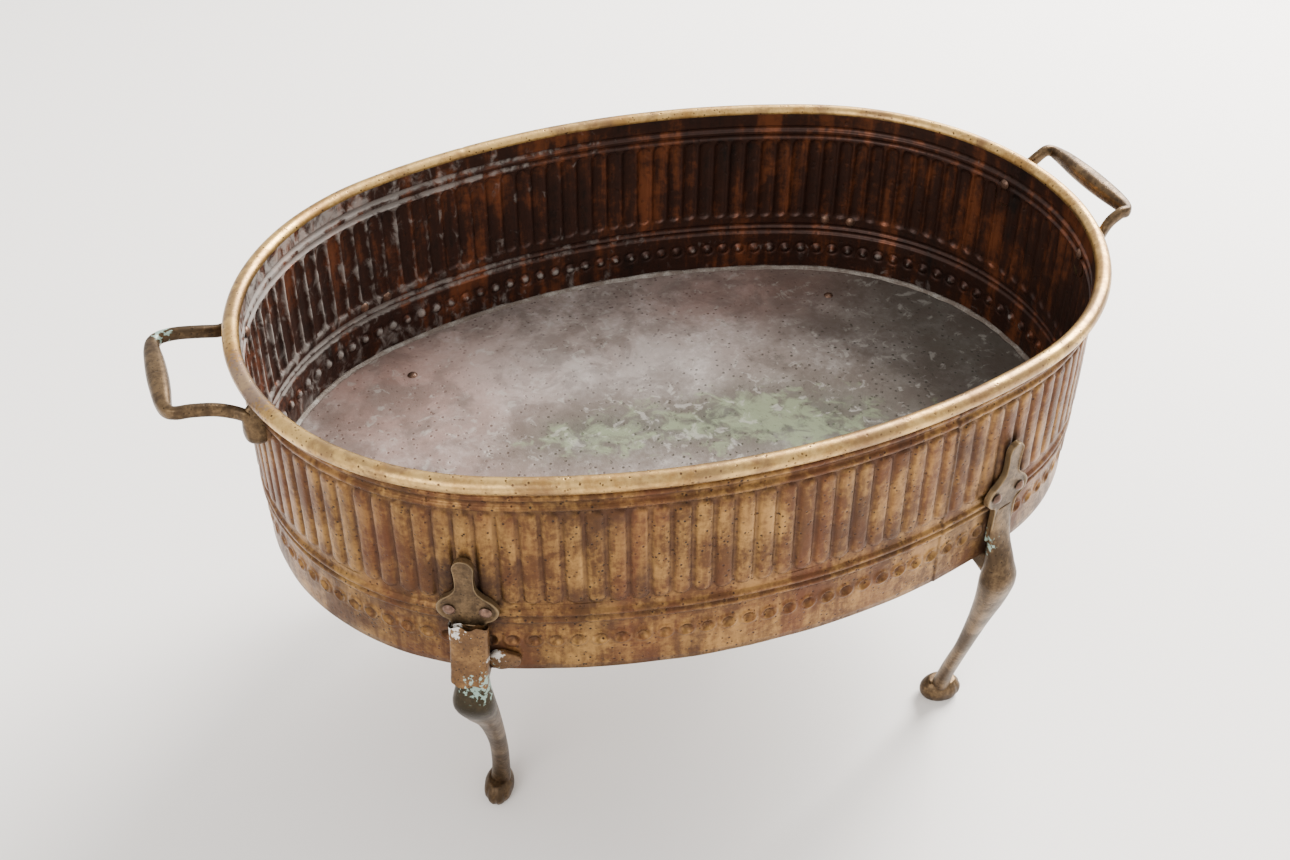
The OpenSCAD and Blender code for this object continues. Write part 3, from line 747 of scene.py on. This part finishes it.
# %% Repair sleeve
SLEEVE_LOW = BASE_Z + 2.5 * MM
SLEEVE_HIGH = 182.2 * MM
HAMMER_MARK = 5.5 * MM
# The strap's section from cheek to cheek: distance aside and out, in millimetres
BEND = [
    [-9.0, 0.2], [-9.1, 2.0], [-8.6, 3.9], [-6.5, 4.9], [0, 5.4],
    [6.5, 4.9], [8.6, 3.9], [9.1, 2.0], [9.0, 0.2],
]


def hammered(a, b, size):
    """Shallow dents, as a grid of bowls whose centres are shaken about."""
    cell_a, cell_b = np.floor(a / size), np.floor(b / size)
    shake = np.sin(cell_a * 12.9 + cell_b * 78.2) * 0.3
    x = (a / size - cell_a - 0.5 + shake * 0.5) * 2
    y = (b / size - cell_b - 0.5 - shake * 0.5) * 2
    return -np.clip(1 - x**2 - y**2, 0, 1)


def strap(direction):
    """A cover over the neck: across, it bends back at both cheeks; down, it leans out to the knee."""
    bend = smooth_path(np.array(BEND) * MM, 6)
    loop = np.vstack([bend, (bend * [0.8, 0.55])[::-1]])[:, None, :]
    aside, deep = loop[..., 0], loop[..., 1]
    down = np.linspace(0, 1, 40)[None, :]
    low_end = SLEEVE_LOW + 1.2 * MM * np.sin(aside / MM * 0.5)
    high_end = SLEEVE_HIGH - 1.0 * MM * np.sin(aside / MM * 0.7 + 1)
    z = low_end + (high_end - low_end) * down
    lean_out = (1 - down) ** 1.6 * 7.5 * MM
    out = plate_back + PLATE_THICK / 2 + deep + lean_out + 0.45 * MM * hammered(aside, z, HAMMER_MARK)
    points = np.stack([out, aside * (1 - 0.06 * (1 - down)), z], -1)
    surface("sleeve_strap", place(points[::-1], direction), "repair_sleeve", "repair_brass", weld=True)


def ear(direction):
    """A round tab beside the leg, bent to the wall, with a soft edge and a slightly wavy outline."""
    turn = 2 * math.pi * np.arange(40)[:, None] / 40
    part = np.concatenate([[1.0, 1.0, 0.97], np.linspace(0.9, 0, 7)])[None, :]
    high = np.concatenate([[0, 1.5, 2.1], np.full(7, 2.3)])[None, :] * MM
    aside = 14 * MM + 7.6 * MM * np.cos(turn) * part
    z = SLEEVE_LOW + 5.4 * MM + 5.6 * MM * np.sin(turn) * (1 + 0.12 * np.cos(turn * 3)) * part
    points = bent(LOW_OFF + 0.6 * MM + high - 0.3 * MM * part, aside, z, direction)
    surface("sleeve_ear", points, "repair_sleeve", "repair_brass", weld=True)


strap(LEGS["front_left"]["direction"])
ear(LEGS["front_left"]["direction"])
print("sleeve made:", len(made), "pieces")

# %% [markdown]
# ## Node groups for old metal
# Old brass is never one colour: it is patchy, streaked, speckled and dark where a cloth doesn't reach.
# Rather than copy those nodes into every material, each effect is a group with named inputs: `patina`
# blends three tones, `deposit` gives ragged patches, and `spot` marks one place on the object.

# %% Node helpers


class Tree:
    """Adds nodes to a tree and joins them: an input may be a socket or a plain value."""

    def __init__(self, tree):
        self.tree = tree

    def feed(self, socket, value):
        """Joins another node's socket to this input, or sets the input to a plain value."""
        if isinstance(value, bpy.types.NodeSocket):
            self.tree.links.new(value, socket)
        else:
            socket.default_value = value

    def add(self, kind, inputs=None, **settings):
        """A node of some kind, with its settings made first and then its inputs fed."""
        node = self.tree.nodes.new(kind)
        for key, value in settings.items():
            setattr(node, key, value)
        for key, value in (inputs or {}).items():
            self.feed(node.inputs[key], value)
        return node

    def math(self, operation, a, b, c=0.0):
        """One step of arithmetic; the next four methods are its common cases."""
        return self.add("ShaderNodeMath", {0: a, 1: b, 2: c}, operation=operation).outputs[0]

    def times(self, a, b):
        return self.math("MULTIPLY", a, b)

    def plus(self, a, b):
        return self.math("ADD", a, b)

    def minus(self, a, b):
        return self.math("SUBTRACT", a, b)

    def larger(self, a, b):
        return self.math("MAXIMUM", a, b)

    def place(self):
        """Where a point lies in the object's own coordinates."""
        return self.add("ShaderNodeTexCoord").outputs["Object"]

    def mark(self, name):
        """A number stored on the mesh by `surface`."""
        return self.add("ShaderNodeAttribute", attribute_name=name, attribute_type="GEOMETRY").outputs["Fac"]

    def noise(self, vector, scale, detail, rough, distortion=0.0):
        """Cloudy noise, mostly between 0.3 and 0.7."""
        values = {"Vector": vector, "Scale": scale, "Detail": detail, "Roughness": rough}
        return self.add("ShaderNodeTexNoise", {**values, "Distortion": distortion}).outputs["Fac"]

    def step(self, value, low, high, to_low=0.0, to_high=1.0):
        """A smooth step from to_low to to_high as the value goes from low to high."""
        values = {"Value": value, "From Min": low, "From Max": high, "To Min": to_low, "To Max": to_high}
        return self.add("ShaderNodeMapRange", values, interpolation_type="SMOOTHSTEP").outputs["Result"]

    def mix(self, mask, a, b):
        """Colour a where the mask is 0 and colour b where it is 1."""
        return self.add("ShaderNodeMix", {0: mask, 6: a, 7: b}, data_type="RGBA").outputs[2]


def new_group(name, inputs, outputs):
    """An empty node group with named sockets, its input node and its output node."""
    group = bpy.data.node_groups.new(name, "ShaderNodeTree")
    for label, (kind, value) in inputs.items():
        socket = group.interface.new_socket(label, in_out="INPUT", socket_type=kind)
        socket.default_value = value
    for label, kind in outputs.items():
        group.interface.new_socket(label, in_out="OUTPUT", socket_type=kind)
    tree = Tree(group)
    return group, tree, tree.add("NodeGroupInput").outputs, tree.add("NodeGroupOutput").inputs


FLOAT, COLOUR, VECTOR = "NodeSocketFloat", "NodeSocketColor", "NodeSocketVector"


def patina_group():
    """Three tones laid over each other in patches, upright streaks and specks, and a height for bumps."""
    group, tree, given, result = new_group("patina", {
        "Light": (COLOUR, (0.60, 0.45, 0.22, 1)), "Middle": (COLOUR, (0.40, 0.26, 0.12, 1)),
        "Dark": (COLOUR, (0.08, 0.05, 0.03, 1)), "Wear": (FLOAT, 0.5), "Streaks": (FLOAT, 0.0),
        "Specks": (FLOAT, 1.0), "Scale": (FLOAT, 40.0),
    }, {"Colour": COLOUR, "Tone": FLOAT, "Height": FLOAT})
    place_at = tree.place()
    broad = tree.noise(place_at, given["Scale"], 5.0, 0.6, 0.4)
    often = tree.times(given["Scale"], 9.0)
    fine = tree.noise(place_at, often, 6.0, 0.65)
    tall = tree.add("ShaderNodeMapping", {"Vector": place_at, "Scale": (1.0, 1.0, 0.12)}).outputs[0]
    streak = tree.noise(tall, tree.times(given["Scale"], 5.0), 4.0, 0.6)
    cells = tree.add("ShaderNodeTexVoronoi", {"Vector": place_at, "Scale": often}).outputs["Distance"]
    tone = tree.plus(tree.times(broad, 0.75), tree.times(fine, 0.45))
    tone = tree.plus(tone, tree.minus(given["Wear"], 0.6))
    tone = tree.math("MULTIPLY_ADD", tree.minus(streak, 0.5), given["Streaks"], tone)
    upper = tree.mix(tree.step(tone, 0.42, 0.72), given["Middle"], given["Light"])
    colour = tree.mix(tree.step(tone, 0.12, 0.42), given["Dark"], upper)
    speck = tree.times(tree.step(cells, 0.30, 0.14), tree.step(fine, 0.44, 0.54))
    colour = tree.mix(tree.times(speck, given["Specks"]), colour, given["Dark"])
    tree.feed(result["Colour"], colour)
    tree.feed(result["Tone"], tone)
    height = tree.times(tree.minus(tree.plus(fine, broad), speck), 0.5)
    tree.feed(result["Height"], height)
    return group


def deposit_group():
    """Ragged patches: noise cut off at a level that Amount sets."""
    group, tree, given, result = new_group("deposit", {
        "Amount": (FLOAT, 0.3), "Scale": (FLOAT, 60.0), "Softness": (FLOAT, 0.08), "Tall": (FLOAT, 1.0),
    }, {"Mask": FLOAT})
    place_at = tree.place()
    scale = tree.add("ShaderNodeCombineXYZ", {"X": 1.0, "Y": 1.0, "Z": given["Tall"]}).outputs[0]
    vector = tree.add("ShaderNodeVectorMath", {0: place_at, 1: scale}, operation="MULTIPLY").outputs[0]
    cloud = tree.noise(vector, given["Scale"], 7.0, 0.62, 0.6)
    level = tree.minus(0.82, tree.times(given["Amount"], 0.6))
    soft = given["Softness"]
    mask = tree.step(cloud, tree.minus(level, soft), tree.plus(level, soft))
    tree.feed(result["Mask"], mask)
    return group


def spot_group():
    """1 near a place on the object, falling to 0 at Radius with a ragged edge."""
    group, tree, given, result = new_group("spot", {
        "Place": (VECTOR, (0, 0, 0)), "Radius": (FLOAT, 0.01), "Ragged": (FLOAT, 0.5),
    }, {"Mask": FLOAT})
    place_at = tree.place()
    away = tree.add("ShaderNodeVectorMath", {0: place_at, 1: given["Place"]}, operation="DISTANCE")
    share = tree.math("DIVIDE", away.outputs["Value"], given["Radius"])
    cloud = tree.minus(tree.noise(place_at, 420.0, 5.0, 0.6), 0.5)
    cloud = tree.times(cloud, given["Ragged"])
    mask = tree.step(tree.plus(share, tree.times(cloud, 3.0)), 1.0, 0.75)
    tree.feed(result["Mask"], mask)
    return group


PATINA, DEPOSIT, SPOT = patina_group(), deposit_group(), spot_group()
print("node groups:", [g.name for g in bpy.data.node_groups])

# %% [markdown]
# ## Materials
# Every material starts from `patina` with its own three tones and adds what is special about its
# place: grooves darkened by dirt and painted shade, chalky salts inside, a green stain and a painted
# sheen on the floor, verdigris at the repair.

# %% Materials


class Metal(Tree):
    """A material's tree with a Principled shader. It starts from the patina, and each tint then changes
    its colour a little further."""

    def __init__(self, name, metallic, roughness, bump, distance):
        self.material = bpy.data.materials.new(name)
        self.material.use_nodes = True
        super().__init__(self.material.node_tree)
        self.tree.nodes.clear()
        shine = {"Metallic": metallic, "Roughness": roughness}
        self.shader = self.add("ShaderNodeBsdfPrincipled", shine)
        self.add("ShaderNodeOutputMaterial", {0: self.shader.outputs[0]})
        self.bump, self.distance = bump, distance

    def group(self, group, **values):
        """The outputs of a node group whose named inputs are fed with some values."""
        return self.add("ShaderNodeGroup", values, node_tree=group).outputs

    def patina(self, light, middle, dark, **values):
        """Starts the colour, the tone and the height from three tones."""
        tones = {"Light": (*light, 1), "Middle": (*middle, 1), "Dark": (*dark, 1)}
        outputs = self.group(PATINA, **tones, **values)
        self.colour, self.tone, self.height = outputs["Colour"], outputs["Tone"], outputs["Height"]

    def deposit(self, **values):
        """Ragged patches, as a mask."""
        return self.group(DEPOSIT, **values)["Mask"]

    def spot(self, place, radius, ragged):
        """One ragged spot on the object, as a mask."""
        return self.group(SPOT, Place=place, Radius=radius, Ragged=ragged)["Mask"]

    def tint(self, mask, tone, share=1):
        """Pulls the colour towards a tone by a share of a mask."""
        self.colour = self.mix(self.times(mask, share), self.colour, (*tone, 1))

    def finish(self, roughness=None, metallic=None):
        """The finished material, with its colour, its bumps and whatever else is given."""
        bumps = {"Strength": self.bump, "Distance": self.distance, "Height": self.height}
        normal = self.add("ShaderNodeBump", bumps).outputs[0]
        given = {"Base Color": self.colour, "Normal": normal, "Roughness": roughness, "Metallic": metallic}
        for key, value in given.items():
            if value is not None:
                self.feed(self.shader.inputs[key], value)
        return self.material


def sheet_outside():
    """Warm brown brass: worn golden ribs, dirt and painted shade in the grooves and by plates, lugs, beads
    and rim, reddish and dark patches, pits all over.
    """
    m = Metal("brass_outside", 0.75, 0.42, 0.5, 0.8 * MM)
    m.patina((0.29, 0.155, 0.043), (0.078, 0.033, 0.010), (0.013, 0.007, 0.004),
             Wear=0.53, Streaks=0.45, Scale=42.0)
    red = m.deposit(Amount=0.52, Scale=20.0, Softness=0.14, Tall=0.5)
    m.tint(red, (0.115, 0.033, 0.014), 0.5)
    stain = m.deposit(Amount=0.36, Scale=48.0, Softness=0.12, Tall=0.7)
    m.tint(stain, (0.040, 0.018, 0.010), 0.6)
    # Dirt and painted shade in the grooves between the ribs, inside the fluted band
    groove_dirt_and_shade = m.times(m.step(m.mark("crest"), 0.85, 0.0), m.plus(0.55, m.times(stain, 0.35)))
    z = m.add("ShaderNodeSeparateXYZ", {0: m.place()}).outputs[2]
    above = m.step(z, FLUTE_LOW - 1 * MM, FLUTE_LOW + 4.5 * MM)
    in_flutes = m.times(above, m.step(z, FLUTE_HIGH + 1.3 * MM, FLUTE_HIGH - 2.2 * MM))
    m.tint(m.times(groove_dirt_and_shade, in_flutes), (0.045, 0.018, 0.009))
    hollow = m.step(m.mark("hollow"), 0.25, 1.0)
    m.tint(hollow, (0.05, 0.023, 0.013), 0.6)
    # Painted shade round plates and lugs and under beads and rim, with dirt along the seam, read from the
    # wall's mark
    dirt_and_shade = m.times(m.mark("shade_and_grime"), m.step(m.tone, 0.9, 0.3, 0.45, 0.95))
    m.tint(dirt_and_shade, (0.025, 0.013, 0.009))
    rough = m.plus(m.step(m.tone, 0.2, 0.8, 0.56, 0.34), m.times(dirt_and_shade, 0.2))
    return m.finish(rough)


def sheet_inside():
    """Nearly black-brown brass with rusty streaks, and chalky salts where they gather."""
    m = Metal("brass_inside", 0.55, 0.42, 0.5, 0.7 * MM)
    m.patina((0.16, 0.048, 0.017), (0.032, 0.011, 0.006), (0.007, 0.004, 0.003),
             Wear=0.47, Streaks=0.9, Specks=0.3, Scale=22.0)
    salts = m.deposit(Amount=m.mark("chalk"), Scale=130.0, Softness=0.12, Tall=0.7)
    m.tint(salts, (0.30, 0.275, 0.25), 0.6)
    dull = m.minus(0.55, m.times(salts, 0.5))
    rough = m.plus(m.step(m.tone, 0.2, 0.8, 0.5, 0.36), m.times(salts, 0.35))
    m.height = m.plus(m.height, salts)
    return m.finish(rough, dull)


def rim_metal():
    """Golden from handling, with brown and purplish bruises."""
    m = Metal("brass_rim", 0.9, 0.34, 0.35, 0.5 * MM)
    m.patina((0.62, 0.40, 0.14), (0.30, 0.165, 0.052), (0.06, 0.030, 0.014),
             Wear=0.57, Streaks=0.1, Scale=44.0)
    bruise = m.deposit(Amount=0.5, Scale=38.0, Softness=0.07)
    m.tint(bruise, (0.15, 0.085, 0.05), 0.6)
    m.tint(m.spot(RIM_SPOT, 0.022, 1.0), (0.20, 0.16, 0.17), 0.5)
    return m.finish(m.step(m.tone, 0.2, 0.9, 0.5, 0.28))


def cast_metal():
    """Cast parts: darker and more olive than the sheet, brighter along worn edges, green in one corner."""
    m = Metal("brass_cast", 0.85, 0.4, 0.35, 0.6 * MM)
    m.patina((0.165, 0.105, 0.052), (0.055, 0.034, 0.018), (0.012, 0.008, 0.005),
             Wear=0.53, Streaks=0.2, Specks=0.7, Scale=52.0)
    m.tint(m.mark("edge"), (0.27, 0.19, 0.10), 0.5)
    m.tint(m.spot(KNEE_SPOT, 0.021, 0.8), (0.02, 0.018, 0.011), 0.8)
    joint = m.spot(JOINT_SPOT, 0.0065, 2.0)
    corner = m.spot(CORNER_SPOT, 0.004, 2.0)
    side = m.spot(PLATE_SPOT, 0.005, 2.2)
    green = m.larger(m.larger(joint, corner), side)
    m.tint(green, (0.27, 0.40, 0.34), 0.8)
    dull = m.minus(0.85, m.times(green, 0.7))
    return m.finish(m.step(m.tone, 0.2, 0.9, 0.52, 0.32), dull)


def floor_metal():
    """Dull copper plate: pinkish at the back and left, a painted sheen in the middle, green in front, dark
    at right.
    """
    m = Metal("copper_floor", 0.25, 0.5, 0.6, 0.8 * MM)
    m.feed(m.shader.inputs["Specular IOR Level"], 0.18)
    m.patina((0.42, 0.37, 0.345), (0.225, 0.18, 0.16), (0.050, 0.038, 0.031),
             Wear=0.48, Scale=30.0)
    cloud = m.deposit(Amount=0.66, Scale=28.0, Softness=0.16)
    pink = m.times(m.mark("pink"), m.plus(0.25, m.times(cloud, 0.45)))
    m.tint(pink, (0.36, 0.20, 0.165))
    # A painted sheen in the middle of the floor, broken up by the cloud
    painted_sheen = m.times(m.mark("painted_sheen"), m.plus(0.05, m.times(cloud, 0.5)))
    m.tint(painted_sheen, (0.40, 0.375, 0.355))
    m.tint(m.mark("dark"), (0.045, 0.045, 0.035), 0.72)
    m.tint(m.mark("green"), (0.030, 0.036, 0.022), 0.88)
    stain = m.deposit(Amount=0.5, Scale=34.0, Softness=0.1)
    m.tint(stain, (0.075, 0.055, 0.045), 0.45)
    green = m.deposit(Amount=m.times(m.mark("green"), 0.6), Scale=95.0, Softness=0.1)
    m.tint(green, (0.25, 0.29, 0.18), 0.6)
    salts = m.deposit(Amount=0.34, Scale=120.0, Softness=0.05)
    m.tint(salts, (0.44, 0.42, 0.38), 0.35)
    rough = m.plus(m.step(m.tone, 0.3, 0.8, 0.6, 0.45), m.times(green, 0.3))
    return m.finish(rough)


def solder_metal():
    """Grey solder, stained and chalky."""
    m = Metal("solder_grey", 0.35, 0.55, 0.6, 0.5 * MM)
    m.patina((0.30, 0.28, 0.25), (0.13, 0.10, 0.08), (0.04, 0.03, 0.02),
             Wear=0.5, Specks=0.5, Scale=90.0)
    return m.finish()


def repair_metal():
    """Golden-brown strip with white flux at its upper corner and turquoise where it meets the knee."""
    m = Metal("brass_repair", 0.6, 0.4, 0.6, 0.8 * MM)
    m.patina((0.22, 0.115, 0.038), (0.095, 0.045, 0.016), (0.018, 0.010, 0.006),
             Wear=0.52, Streaks=0.1, Scale=70.0)
    joint = m.spot(JOINT_SPOT, 0.0065, 2.0)
    m.tint(joint, (0.30, 0.44, 0.38), 0.8)
    flux = m.spot(FLUX_SPOT, 0.005, 2.6)
    ear = m.spot(EAR_SPOT, 0.0042, 2.0)
    white = m.larger(flux, m.times(ear, 0.8))
    m.tint(white, (0.62, 0.60, 0.55), 0.85)
    dull = m.minus(0.6, m.times(m.larger(white, joint), 0.55))
    return m.finish(m.step(m.tone, 0.2, 0.9, 0.5, 0.32), dull)


def rivet_metal():
    """Dark reddish rivet heads."""
    m = Metal("brass_rivet", 0.65, 0.4, 0.3, 0.3 * MM)
    m.patina((0.25, 0.135, 0.085), (0.09, 0.050, 0.034), (0.025, 0.015, 0.010),
             Wear=0.5, Specks=0.5, Scale=120.0)
    return m.finish()


def at_leg(name, out, aside, z):
    """A place beside a leg, in the object's own coordinates."""
    point = place(np.array([out, aside, z]) * MM, LEGS[name]["direction"])
    return (point[0] + OVAL_X, point[1], point[2])


KNEE_SPOT = at_leg("front_left", 10, 0, 138)
JOINT_SPOT = at_leg("front_left", 9, 5, 149)
FLUX_SPOT = at_leg("front_left", 5, -8, 182)
EAR_SPOT = at_leg("front_left", 4, 10, 162)
PLATE_SPOT = at_leg("front_right", 0, -9.5, 160)
CORNER_SPOT = (OVAL_X - 0.249, 0.031, 0.259)
RIM_SPOT = (-0.203, -0.03, 0.266)
outside, inside, rim = sheet_outside(), sheet_inside(), rim_metal()
finishes = {"cast_brass": cast_metal(), "floor_copper": floor_metal(), "solder": solder_metal(),
            "repair_brass": repair_metal(), "rivets": rivet_metal(), "wire": rim, "sheet_brass": outside}
dressed = {piece: finishes[piece["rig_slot"]] for piece in made}
for piece in made:
    if piece.name == "rim_roll":
        dressed[piece] = rim
    elif piece.name.endswith("_inside"):
        dressed[piece] = inside
for row in frame["record"]["subparts"]:
    dressed[frame["nodes"][row["node"]]] = finishes[row["material_slot"]]
for piece, material in dressed.items():
    piece.data.materials.clear()
    piece.data.materials.append(material)
print("materials:", len(bpy.data.materials))

# %% [markdown]
# ## Floor, light and camera
# The pot stands on a plain pale floor. One large lamp at the right and behind gives the soft light of
# a doorway, a weaker one at the left lifts the shadows, and the world fills the rest. The camera looks
# down from the front left.

# %% Stage
FLOOR_SIZE = 8.0
VIEWPOINT = (OVAL_X - 203.97 * MM, -541.18 * MM, 641.20 * MM)
LOOK_DOWN, LOOK_RIGHT = 0.6999, 0.3313
FOCAL, SENSOR = 38.51, 36


def stage_floor():
    """A wide pale square on z = 0, which is not part of the pot."""
    mesh = bpy.data.meshes.new("ground")
    half = FLOOR_SIZE / 2
    corners = [(-half, -half, 0), (half, -half, 0), (half, half, 0), (-half, half, 0)]
    mesh.from_pydata(corners, [], [(0, 1, 2, 3)])
    ground = bpy.data.objects.new("ground", mesh)
    bpy.context.scene.collection.objects.link(ground)
    material = bpy.data.materials.new("pale_floor")
    material.use_nodes = True
    shader = material.node_tree.nodes["Principled BSDF"]
    shader.inputs["Base Color"].default_value = (0.90, 0.87, 0.84, 1)
    shader.inputs["Roughness"].default_value = 0.8
    mesh.materials.append(material)
    ground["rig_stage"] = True


def lamp(name, spot, target, size, power, colour):
    """A square lamp of some size at a spot, turned so that it faces the target."""
    light = bpy.data.lights.new(name, "AREA")
    light.size, light.energy, light.color = size, power, colour
    holder = bpy.data.objects.new(name, light)
    bpy.context.scene.collection.objects.link(holder)
    holder.location = spot
    aim = np.asarray(target, float) - np.asarray(spot, float)
    flat = math.hypot(aim[0], aim[1])
    holder.rotation_euler = (math.pi / 2 + math.atan2(aim[2], flat), 0, math.atan2(-aim[0], aim[1]))
    holder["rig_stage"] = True


def camera():
    """Looks down below the horizon, turned to the right of +Y."""
    lens = bpy.data.cameras.new("view")
    lens.lens, lens.sensor_width = FOCAL, SENSOR
    holder = bpy.data.objects.new("view", lens)
    bpy.context.scene.collection.objects.link(holder)
    holder.location = VIEWPOINT
    holder.rotation_euler = (math.pi / 2 - LOOK_DOWN, 0, -LOOK_RIGHT)
    bpy.context.scene.camera = holder


stage_floor()
middle = (0, 0, 0.2)
lamp("doorway", (1.5, 0.9, 1.5), middle, 1.3, 200, (1.0, 0.975, 0.94))
lamp("fill", (-1.3, -1.2, 1.2), middle, 1.2, 24, (1.0, 0.97, 0.94))
world = bpy.data.worlds.new("soft")
world.use_nodes = True
sky = world.node_tree.nodes["Background"].inputs
sky["Color"].default_value = (1.0, 0.985, 0.965, 1)
sky["Strength"].default_value = 1.3
bpy.context.scene.world = world
camera()
print("stage ready")

# %% Sizes, then finish
visual_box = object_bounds()
boxes = {"cad": [list(corner) for corner in cad_box], "visual": [list(corner) for corner in visual_box]}
for name, box in boxes.items():
    print(name, "box", [[round(v, 4) for v in corner] for corner in box])
